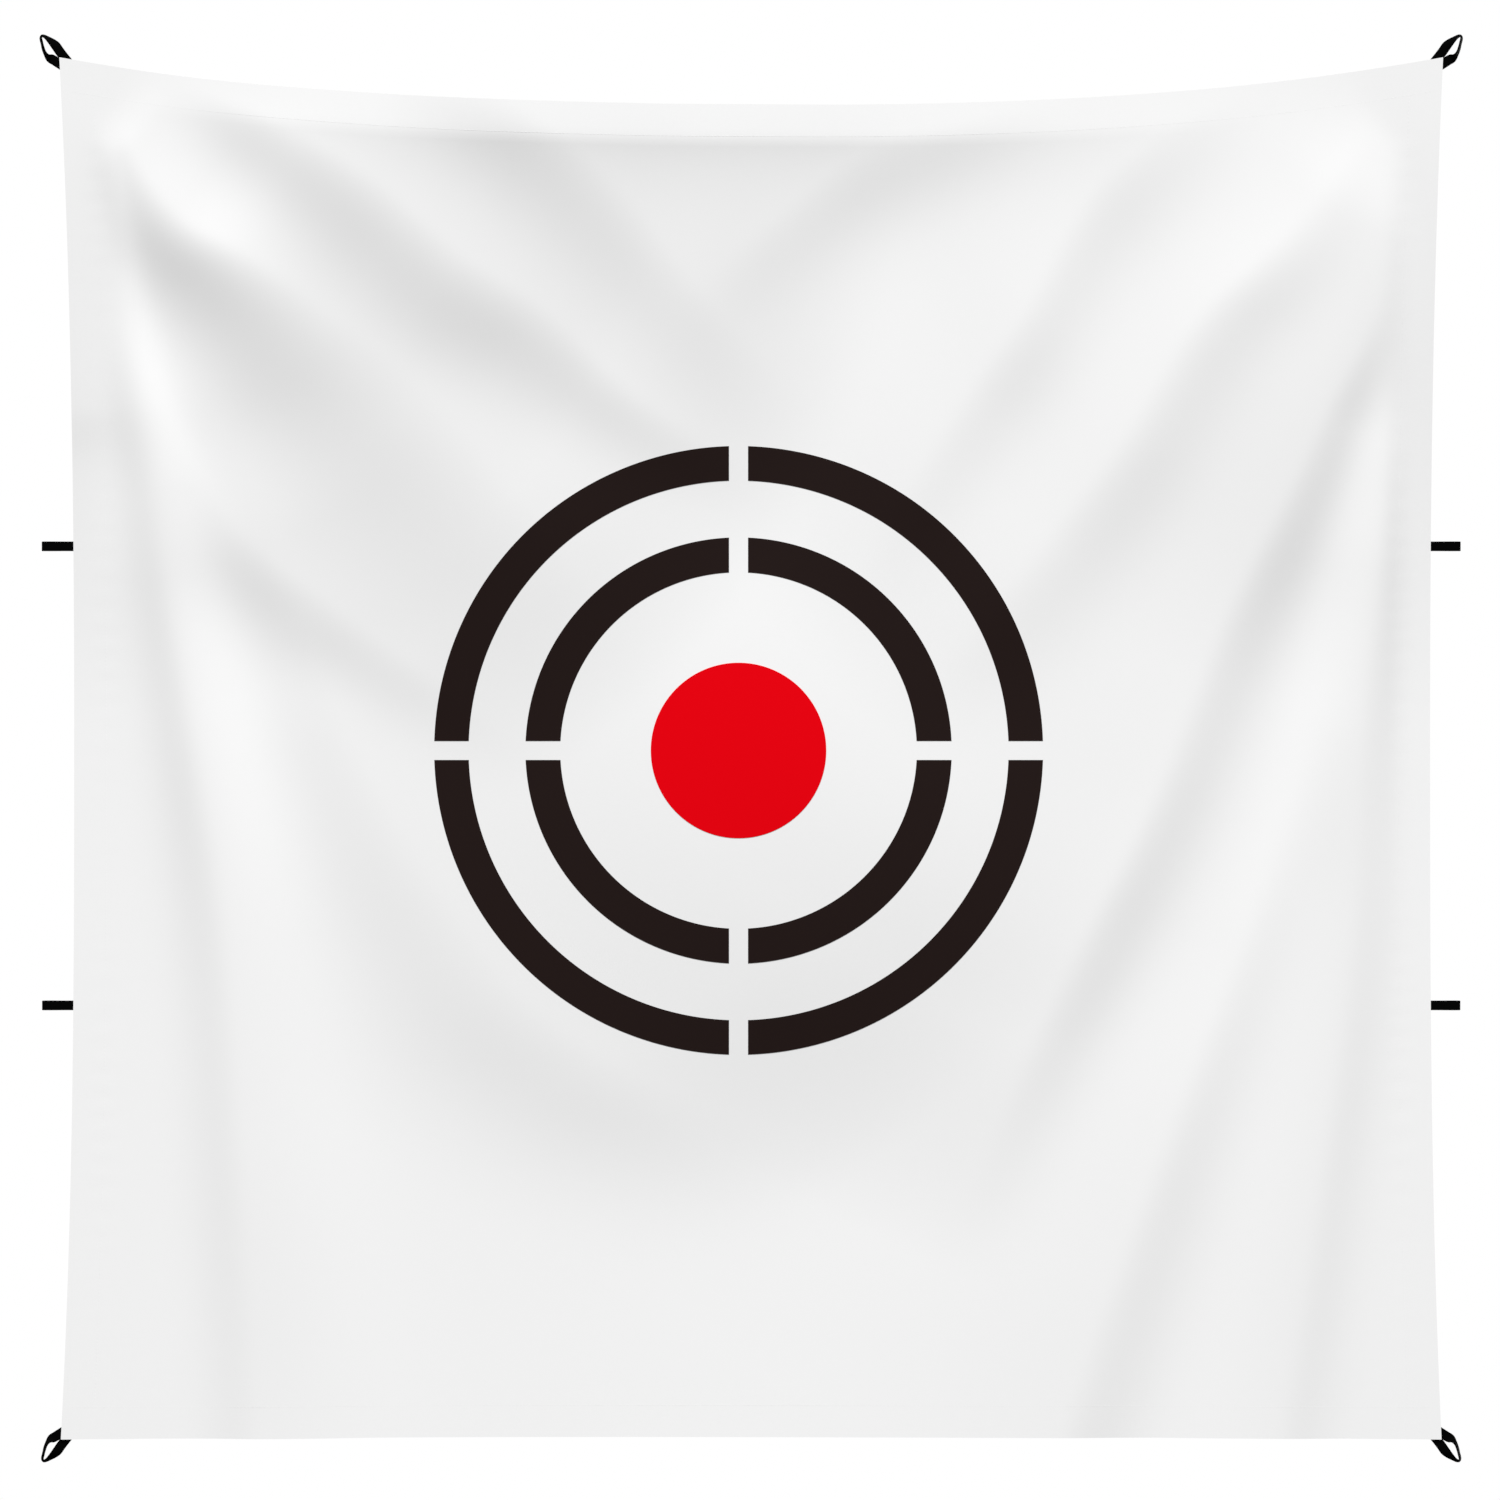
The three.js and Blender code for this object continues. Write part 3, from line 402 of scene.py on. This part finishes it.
def tube(rings):
    """Points and faces of a closed skin over rings of points, which all have the same number."""
    count, around = len(rings), len(rings[0])
    points = np.concatenate(list(rings))
    index = np.arange(count * around).reshape(count, around)
    turned = np.roll(index, -1, axis=1)
    faces = np.stack([index[:-1], turned[:-1], turned[1:], index[1:]], -1).reshape(-1, 4).tolist()
    faces.append(tuple(range(around))[::-1])
    faces.append(tuple((count - 1) * around + c for c in range(around)))
    return points, faces


def on_cloth(x, z, offset=0.0):
    """Points on the cloth, offset to the back of its middle."""
    x, z = np.broadcast_arrays(np.asarray(x, float), np.asarray(z, float))
    return np.stack([x, depth_at(x, z) + offset, z], -1)


# ---------------------------------------------------------------- the cloth

CLOTH_CELLS = 220
share = np.linspace(0, 1, CLOTH_CELLS + 1)
cloth_u, cloth_v = np.meshgrid(share, share)
cloth_x, cloth_z = grid_point(cloth_u, cloth_v)
front = on_cloth(cloth_x, cloth_z, -CLOTH_THICKNESS / 2)
back = on_cloth(cloth_x, cloth_z, CLOTH_THICKNESS / 2)
cloth = new_piece("target_cloth", *shell(front, back), white_cloth, "white_cloth")
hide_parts("cloth_panel")
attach(cloth, "cloth")

# ---------------------------------------------------------------- hems and their seams

# The hem's section: (inwards from the cloth's edge, back from its middle). The cloth turns over at
# its edge, and the turned layer ends in a thin folded-in rim.
HEM_SECTION = [
    (0.6, 0.2), (0.04, 0.3), (0.0, 0.6), (0.0, hem_back - 0.3), (0.15, hem_back - 0.08),
    (0.6, hem_back), (8, hem_back), (20, hem_back), (HEM_WIDTH - 6, hem_back),
    (HEM_WIDTH - 1, hem_back + 0.15), (HEM_WIDTH, hem_back - 0.2), (HEM_WIDTH, hem_front + 0.1),
    (HEM_WIDTH - 0.6, hem_front - 0.15), (20, hem_front - 0.2), (2, hem_front - 0.2), (0.9, 0.3),
]
HEM_STATIONS = 260
SEAM_STATIONS = 400
# Stations of a seam that carry no stitch, at each of its ends.
SEAM_BARE_STATIONS = {"top": 3, "bottom": 3, "left": 1, "right": 1}
THREAD_LIFT = 0.02
# Raised stitches: (length, gap, width, height).
FRONT_STITCH = (3.4, 0.7, 0.6, 0.12)
BACK_STITCH = (3.4, 0.7, 0.75, 0.35)
WEBBING_STITCH = (1.9, 0.45, 0.8, 0.4)
# One stitch is a lens of thread, in shares of its length, width and height.
STITCH_POINTS = [
    (-0.5, 0, 0), (-0.3, -0.5, 0.15), (-0.3, 0, 0.9), (-0.3, 0.5, 0.15),
    (0.3, -0.5, 0.15), (0.3, 0, 0.9), (0.3, 0.5, 0.15), (0.5, 0, 0),
]
STITCH_FACES = [
    (0, 2, 1), (0, 3, 2), (1, 2, 5, 4), (2, 3, 6, 5), (3, 1, 4, 6), (7, 4, 5), (7, 5, 6), (0, 1, 3),
    (7, 6, 4),
]


def edge_stations(edge, count):
    """Points along one edge, with the way inwards: (x, z, inwards x, inwards z)."""
    if edge in ("top", "bottom"):
        x = np.linspace(-half_width, half_width, count)
        z = top_edge(x) if edge == "top" else bottom_edge(x)
        return x, z, 0.0, -1.0 if edge == "top" else 1.0
    sign = -1 if edge == "left" else 1
    side = left_edge if edge == "left" else right_edge
    inset = HEM_WIDTH + SEAT
    low, high = bottom_edge(sign * half_width) + inset, top_edge(sign * half_width) - inset
    z = np.linspace(float(low), float(high), count)
    return side(z), z, -float(sign), 0.0


def hem(edge):
    """The cloth's turned layer along one edge. The top and bottom ones follow the sides' curves."""
    x, z, in_x, in_z = edge_stations(edge, HEM_STATIONS)
    inwards, offset = np.array(HEM_SECTION).T
    ring_x, ring_z = x[:, None] + in_x * inwards, z[:, None] + in_z * inwards
    if in_z:
        share_across = (ring_x + half_width) / CLOTH_WIDTH
        ring_x = left_edge(ring_z) + (right_edge(ring_z) - left_edge(ring_z)) * share_across
    rings = on_cloth(ring_x, ring_z, offset)
    piece = new_piece(f"hem_fold_{edge}", *tube(rings), white_cloth, "white_cloth")
    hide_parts(f"hem_{edge}")
    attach(piece, "cloth")
    return piece


def stitch_run(points, normals, length, gap, width, height):
    """A run of small raised stitches along a path of points, each a closed lens of thread."""
    steps = np.linalg.norm(np.diff(points, axis=0), axis=1)
    along = np.concatenate([[0], np.cumsum(steps)])
    total = along[-1]
    pitch = length + gap
    count = max(1, int(total // pitch))
    starts = (total - count * pitch + gap) / 2 + pitch * np.arange(count)

    def place(s, values):
        return np.stack([np.interp(s, along, values[:, c]) for c in range(3)], -1)

    all_points, all_faces = [], []
    for begin in starts:
        ends = place(np.array([begin, begin + length]), points)
        middle = place(np.array([begin + length / 2]), points)[0]
        normal = place(np.array([begin + length / 2]), normals)[0]
        forward = ends[1] - ends[0]
        size = np.linalg.norm(forward)
        forward /= size
        sideways = np.cross(forward, normal)
        sideways /= np.linalg.norm(sideways)
        base = len(all_points)
        for a, b, c in STITCH_POINTS:
            all_points.append(middle + forward * a * size + sideways * b * width + normal * c * height)
        for face in STITCH_FACES:
            all_faces.append(tuple(base + k for k in face))
    return np.array(all_points), all_faces


def joined(runs):
    """The points and faces of many runs as those of one mesh."""
    points, faces, base = [], [], 0
    for run_points, run_faces in runs:
        points.append(run_points)
        faces += [tuple(k + base for k in face) for face in run_faces]
        base += len(run_points)
    return np.concatenate(points), faces


def seam(edge):
    """Both sides of the stitches that hold one hem."""
    x, z, in_x, in_z = edge_stations(edge, SEAM_STATIONS)
    bare = SEAM_BARE_STATIONS[edge]
    inwards = SEAM_FROM_EDGE + THREAD_WIDTH / 2
    x, z = x[bare:-bare] + in_x * inwards, z[bare:-bare] + in_z * inwards
    forwards = np.tile([0.0, -1.0, 0.0], (len(x), 1))
    runs = [
        stitch_run(on_cloth(x, z, -CLOTH_THICKNESS / 2), forwards, *FRONT_STITCH),
        stitch_run(on_cloth(x, z, hem_back + THREAD_LIFT), -forwards, *BACK_STITCH),
    ]
    piece = new_piece(f"seam_thread_{edge}", *joined(runs), white_thread, "white_thread")
    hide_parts(f"seam_{edge}")
    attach(piece, "cloth")
    return piece


for edge in ("top", "bottom", "left", "right"):
    hem(edge)
    seam(edge)

# ---------------------------------------------------------------- the printed bullseye

# The ink lies between these two distances in front of the cloth's face.
INK_NEAR = 0.1
INK_FAR = 0.3
RING_POINTS_ACROSS = 9
RING_POINTS_ALONG = 91
DISC_POINTS = 41


def ink(name, x, z, node, finish, slot):
    """A thin printed area over a grid of places."""
    front = on_cloth(x, z, -CLOTH_THICKNESS / 2 - INK_FAR)
    back = on_cloth(x, z, -CLOTH_THICKNESS / 2 - INK_NEAR)
    piece = new_piece(name, *shell(front, back), finish, slot)
    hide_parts(node)
    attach(piece, "cloth")
    return piece


def ring_quarter(radius, band, sign_x, sign_z):
    """A grid over a quarter ring, with straight sides half the cross gap from the middle lines."""
    radii = np.linspace(radius, radius - band, RING_POINTS_ACROSS)[:, None]
    first = np.arcsin(CROSS_GAP / 2 / radii)
    angle = first + (math.pi / 2 - 2 * first) * np.linspace(0, 1, RING_POINTS_ALONG)[None, :]
    x = TARGET_X + sign_x * radii * np.cos(angle)
    z = TARGET_Z + sign_z * radii * np.sin(angle)
    return (x, z) if sign_x * sign_z > 0 else (x[:, ::-1], z[:, ::-1])


for across, sign_x in (("right", 1), ("left", -1)):
    for level, sign_z in (("upper", 1), ("lower", -1)):
        for ring_name, (radius, band) in (("outer", OUTER_RING), ("inner", INNER_RING)):
            x, z = ring_quarter(radius, band, sign_x, sign_z)
            node = f"print_{ring_name}_ring_{level}_{across}"
            name = f"ink_{ring_name}_{level}_{across}"
            ink(name, x, z, node, black_ink, "black_ink")

# The disc's grid is a square pressed into a circle, so that all its cells stay alike.
disc_share = np.linspace(-1, 1, DISC_POINTS)
s, t = np.meshgrid(disc_share, disc_share)
disc_x = TARGET_X + DISC_RADIUS * s * np.sqrt(1 - t * t / 2)
disc_z = TARGET_Z + DISC_RADIUS * t * np.sqrt(1 - s * s / 2)
ink("ink_centre_disc", disc_x, disc_z, "print_centre_disc", red_ink, "red_ink")

# ---------------------------------------------------------------- webbing

# A strip's section: flat faces with rounded selvedges, as (across, through) in halves of its size.
STRIP_SECTION = [
    (1.0, 0.0), (0.97, 0.62), (0.88, 0.95), (0.45, 0.93), (0.0, 0.9), (-0.45, 0.93), (-0.88, 0.95),
    (-0.97, 0.62), (-1.0, 0.0), (-0.97, -0.62), (-0.88, -0.95), (-0.45, -0.93), (0.0, -0.9),
    (0.45, -0.93), (0.88, -0.95), (0.97, -0.62),
]
ROUTE_STEP = 1.0
BOX_LINE_POINTS = 12
FIRST_LEG_ACROSS = 4.2
SECOND_LEG_ACROSS = -6.2
SECOND_LEG_SLANT = -0.364
# Where a side loop's bend would start and end, outwards of the edge. side_loop works these places out
# but makes no bend with them.
SIDE_BEND = (-1.0, 5.0)
# The sewn legs of a side loop are pressed together by this much each.
SEWN_PRESS = 0.13


def unit(v):
    return v / np.linalg.norm(v)


def resample(route):
    """A smooth curve through a route's stations, with a place at every step of about a millimetre."""
    route = np.array(route, float)
    lengths = np.linalg.norm(np.diff(route[:, :3], axis=0), axis=1)
    stops = np.concatenate([[0], np.cumsum(lengths)])
    at = np.linspace(0, stops[-1], int(stops[-1] / ROUTE_STEP) + 1)
    return np.stack([curve_through(stops, route[:, c])(at) for c in range(route.shape[1])], -1)


def webbing_strip(middles, widths):
    """Rings and coordinates for a strip along middles, with its width along widths."""
    rings, uv, run = [], [], 0.0
    count = len(middles)
    for k in range(count):
        forward = unit(middles[min(count - 1, k + 1)] - middles[max(0, k - 1)])
        across = unit(widths[k] - forward * widths[k].dot(forward))
        through = np.cross(forward, across)
        if k:
            run += np.linalg.norm(middles[k] - middles[k - 1])
        rings.append(np.array([
            middles[k] + across * a * STRIP_WIDTH / 2 + through * b * STRIP_THICKNESS / 2
            for a, b in STRIP_SECTION
        ]))
        uv.append(np.array([(a * STRIP_WIDTH / 2, run) for a, _ in STRIP_SECTION]))
    return rings, np.concatenate(uv)


def second_leg(u):
    """How far across a corner strip's second leg lies, u outwards from the corner."""
    return SECOND_LEG_ACROSS + SECOND_LEG_SLANT * u


# The corner strip's way from its first sewn end round to its second one:
# (outwards, across, depth, twist in degrees).
CORNER_ROUTE = [
    (-SEWN_LENGTH, FIRST_LEG_ACROSS, -leg_offset, 0), (-16, FIRST_LEG_ACROSS, -leg_offset, 0),
    (-8, FIRST_LEG_ACROSS, -leg_offset, 0), (0, 4.1, -leg_offset, 0), (6, 4.2, -leg_offset, 0),
    (12, 4.5, -0.6, 8), (17, 4.0, -0.4, 34), (22, 3.0, -0.2, 54), (26, 1.9, 0, 67), (29, 0.5, 0, 72),
    (30.3, -1.1, 0, 73), (29.4, -2.8, 0, 74), (27.4, -4.1, 0, 74), (25, -5.1, 0, 74),
    (22, -6.5, 0.2, 74), (19, -7.8, 0.3, 72), (14.5, -9.3, 0.5, 70), (10.8, -9.8, 0.6, 63),
    (8.2, -9.7, leg_offset, 50), (6.2, -9.1, leg_offset, 32), (4.4, -8.1, leg_offset, 13),
    (2.4, second_leg(2.4), leg_offset, 3), (-2, second_leg(-2), leg_offset, 0),
    (-8, second_leg(-8), leg_offset, 0), (-16, second_leg(-16), leg_offset, 0),
    (-SEWN_LENGTH, second_leg(-SEWN_LENGTH), leg_offset, 0),
]


def corner_frame(sign_x, sign_z):
    """A corner's place, with its loop's directions outwards and across."""
    tilt = math.radians(CORNER_LOOP_ANGLE)
    outwards = np.array([sign_x * math.cos(tilt), 0, sign_z * math.sin(tilt)])
    across = np.array([-sign_x * math.sin(tilt), 0, sign_z * math.cos(tilt)])
    corner = np.array([sign_x * half_width, 0 if sign_z > 0 else SET_BACK, sign_z * half_height])
    return corner, outwards, across


def corner_loop(name, sign_x, sign_z):
    """A strip folded into a teardrop that twists at its tip. Its second leg slants behind the first."""
    corner, outwards, across = corner_frame(sign_x, sign_z)
    route = resample(CORNER_ROUTE)
    steps = np.gradient(route[:, :2], axis=0)
    middles, widths = [], []
    for (u, v, y, twist), (du, dv) in zip(route, steps):
        sideways = unit(across * du - outwards * dv)
        angle = math.radians(twist)
        middles.append(corner + outwards * u + across * v + np.array([0, y, 0]))
        widths.append(sideways * math.cos(angle) + np.array([0, math.sin(angle), 0]))
    rings, uv = webbing_strip(np.array(middles), np.array(widths))
    points, faces = tube(rings)
    piece = new_piece(f"webbing_{name}", points, faces, black_webbing, "black_webbing", uv=uv)
    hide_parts(f"loop_{name}", f"webbing_end_{name}")
    if sign_z > 0:
        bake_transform(piece)
    else:
        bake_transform(piece)
    sewn_middle = corner + outwards * CORNER_STITCH_OUTWARDS + across * CORNER_STITCH_ACROSS
    box_stitch(name, sewn_middle, outwards, across)


def box_stitch(name, middle, along, across, level_at=None):
    """A box with a cross in it over a sewn end. level_at gives the depth of webbing that isn't flat."""
    a, b = STITCH_LENGTH / 2, STITCH_WIDTH / 2
    corners = [(-a, -b), (a, -b), (a, b), (-a, b)]
    lines = list(zip(corners, corners[1:] + corners[:1])) + [((-a, -b), (a, b)), ((-a, b), (a, -b))]
    runs = []
    for (a0, b0), (a1, b1) in lines:
        t = np.linspace(0, 1, BOX_LINE_POINTS)[:, None]
        path = middle + along * (a0 + (a1 - a0) * t) + across * (b0 + (b1 - b0) * t)
        if level_at:
            path[:, 1] = [level_at(x) for x in path[:, 0]]
        path[:, 1] += STRIP_THICKNESS + THREAD_LIFT
        backwards = np.tile([0.0, 1.0, 0.0], (len(path), 1))
        runs.append(stitch_run(path, backwards, *WEBBING_STITCH))
    piece = new_piece(f"box_stitch_{name}", *joined(runs), black_thread, "black_thread")
    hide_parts(f"stitch_{name}")
    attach(piece, "cloth")


def side_loop(name, sign, z):
    """A strip folded flat, with a narrow eye at its tip. Its sewn end follows the cloth."""
    edge = float(left_edge(z) if sign < 0 else right_edge(z))
    level = (webbing_front + webbing_back) / 2

    def middle(x):
        return float(depth_at(min(max(x, -abs(edge)), abs(edge)), z)) + level

    tip = SIDE_LOOP_REACH + half_width - abs(edge) - STRIP_THICKNESS / 2
    eye = SIDE_EYE_HALF_WIDTH + STRIP_THICKNESS / 2
    sewn = leg_offset - SEWN_PRESS
    # Half of the strip's way: (outwards of the edge, away from the loop's middle).
    half = [
        (-SEWN_LENGTH, sewn), (-14, sewn), (-3, sewn), (4, leg_offset), (tip - 20, leg_offset + 0.7),
        (tip - 15, eye * 0.75), (tip - 10, eye), (tip - 5, eye), (tip - 1.6, eye * 0.72),
        (tip, eye * 0.3),
    ]
    route = half + [(u, -y) for u, y in reversed(half)]
    stations = [(edge + sign * u, middle(edge + sign * u) - y, z) for u, y in route]
    middles = resample(stations)
    widths = np.tile([0.0, 0.0, 1.0], (len(middles), 1))
    rings, uv = webbing_strip(middles, widths)
    points, faces = tube(rings)
    piece = new_piece(f"webbing_{name}", points, faces, black_webbing, "black_webbing", uv=uv)
    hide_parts(f"loop_{name}", f"webbing_end_{name}")
    start, end = ((MM * (edge + sign * u), middle(edge) * MM, z * MM) for u in SIDE_BEND)
    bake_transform(piece)
    sewn_middle = np.array([edge - sign * SEWN_LENGTH / 2, 0, z])
    box_stitch(name, sewn_middle, np.array([1.0, 0, 0]), np.array([0, 0, 1.0]), middle)


for across, sign_x in (("left", -1), ("right", 1)):
    corner_loop(f"top_{across}", sign_x, 1)
    corner_loop(f"bottom_{across}", sign_x, -1)
    for level, z in SIDE_LOOPS.items():
        side_loop(f"{across}_{level}", sign_x, z)

# ---------------------------------------------------------------- stage, light and camera

FLOOR_BELOW = 1.5
FLOOR_RADIUS = 7.3
FLOOR_SIDES = 96
# The floor's grey, and the distances at which it starts to fade and is gone.
FLOOR_SEEN = (0.45, 5.4, FLOOR_RADIUS)
FLOOR_UNSEEN = (0.1, 2.66, 3.85)
AMBIENT = 0.28
# Soft lamps: name, the way towards it, strength, angle in degrees.
LAMPS = (
    ("key", (0, -0.5, 0.85), 4.64, 12),
    ("fill_behind", (0.45, 0.87, -0.18), 1.4, 25),
)
PHOTO_PIXELS = 1500
MM_PER_PIXEL = 1.0807
LENS = 200.0
SENSOR = 36.0
CAMERA_RIGHT = -0.0013
CAMERA_UP = -0.0009
CLIP_NEAR = 0.1
CLIP_FAR = 100.0


def stage_floor():
    """A pale floor that fades out. Rays from the lamps and the object meet a darker, smaller one."""
    mesh = bpy.data.meshes.new("floor")
    turns = [2 * math.pi * k / FLOOR_SIDES for k in range(FLOOR_SIDES)]
    rim = [(FLOOR_RADIUS * math.cos(a), FLOOR_RADIUS * math.sin(a), -FLOOR_BELOW) for a in turns]
    mesh.from_pydata(rim, [], [tuple(range(FLOOR_SIDES))])
    floor = bpy.data.objects.new("floor", mesh)
    bpy.context.scene.collection.objects.link(floor)
    made = bpy.data.materials.new("floor")
    made.use_nodes = True
    nodes, links = made.node_tree.nodes, made.node_tree.links
    nodes.clear()
    out = nodes.new("ShaderNodeOutputMaterial")
    coordinates = nodes.new("ShaderNodeTexCoord")
    length = nodes.new("ShaderNodeVectorMath")
    length.operation = "LENGTH"
    links.new(coordinates.outputs["Object"], length.inputs[0])
    path = nodes.new("ShaderNodeLightPath")
    by_ray = nodes.new("ShaderNodeMixShader")
    links.new(path.outputs["Is Camera Ray"], by_ray.inputs["Fac"])
    links.new(by_ray.outputs[0], out.inputs["Surface"])
    for k, (grey, fade_from, fade_to) in enumerate((FLOOR_UNSEEN, FLOOR_SEEN), start=1):
        matt = nodes.new("ShaderNodeBsdfDiffuse")
        matt.inputs["Color"].default_value = (grey, grey, grey, 1)
        clear = nodes.new("ShaderNodeBsdfTransparent")
        fade = nodes.new("ShaderNodeMapRange")
        fade.interpolation_type = "SMOOTHSTEP"
        fade.inputs["From Min"].default_value = fade_from
        fade.inputs["From Max"].default_value = fade_to
        links.new(length.outputs["Value"], fade.inputs["Value"])
        faded = nodes.new("ShaderNodeMixShader")
        links.new(fade.outputs["Result"], faded.inputs["Fac"])
        links.new(matt.outputs[0], faded.inputs[1])
        links.new(clear.outputs[0], faded.inputs[2])
        links.new(faded.outputs[0], by_ray.inputs[k])
    mesh.materials.append(made)


def world_light():
    """A background that the camera sees as white, and a weaker light for all else."""
    world = bpy.data.worlds.new("studio")
    bpy.context.scene.world = world
    world.use_nodes = True
    nodes, links = world.node_tree.nodes, world.node_tree.links
    nodes.clear()
    out = nodes.new("ShaderNodeOutputWorld")
    path = nodes.new("ShaderNodeLightPath")
    by_ray = nodes.new("ShaderNodeMixShader")
    links.new(path.outputs["Is Camera Ray"], by_ray.inputs["Fac"])
    links.new(by_ray.outputs[0], out.inputs["Surface"])
    for k, strength in enumerate((AMBIENT, 1.0), start=1):
        white = nodes.new("ShaderNodeBackground")
        white.inputs["Color"].default_value = (1, 1, 1, 1)
        white.inputs["Strength"].default_value = strength
        links.new(white.outputs[0], by_ray.inputs[k])


def soft_lamp(name, towards, strength, angle):
    light = bpy.data.lights.new(name, "SUN")
    light.energy = strength
    light.angle = math.radians(angle)
    lamp = bpy.data.objects.new(name, light)
    lamp.rotation_euler = Vector(towards).to_track_quat("Z", "Y").to_euler()
    bpy.context.scene.collection.objects.link(lamp)


def photo_camera():
    """A long lens straight in front, as far off as makes the photo's frame fit at the cloth."""
    data = bpy.data.cameras.new("camera")
    data.lens = LENS
    data.sensor_width = SENSOR
    data.clip_start = CLIP_NEAR
    data.clip_end = CLIP_FAR
    camera = bpy.data.objects.new("camera", data)
    bpy.context.scene.collection.objects.link(camera)
    frame_width = PHOTO_PIXELS * MM_PER_PIXEL * MM
    camera.location = (CAMERA_RIGHT, -frame_width * LENS / SENSOR, CAMERA_UP)
    camera.rotation_euler = (math.pi / 2, 0, 0)
    bpy.context.scene.camera = camera


stage_floor()
world_light()
for lamp in LAMPS:
    soft_lamp(*lamp)
photo_camera()
bpy.context.scene.view_settings.view_transform = "Standard"

bpy.context.view_layer.update()
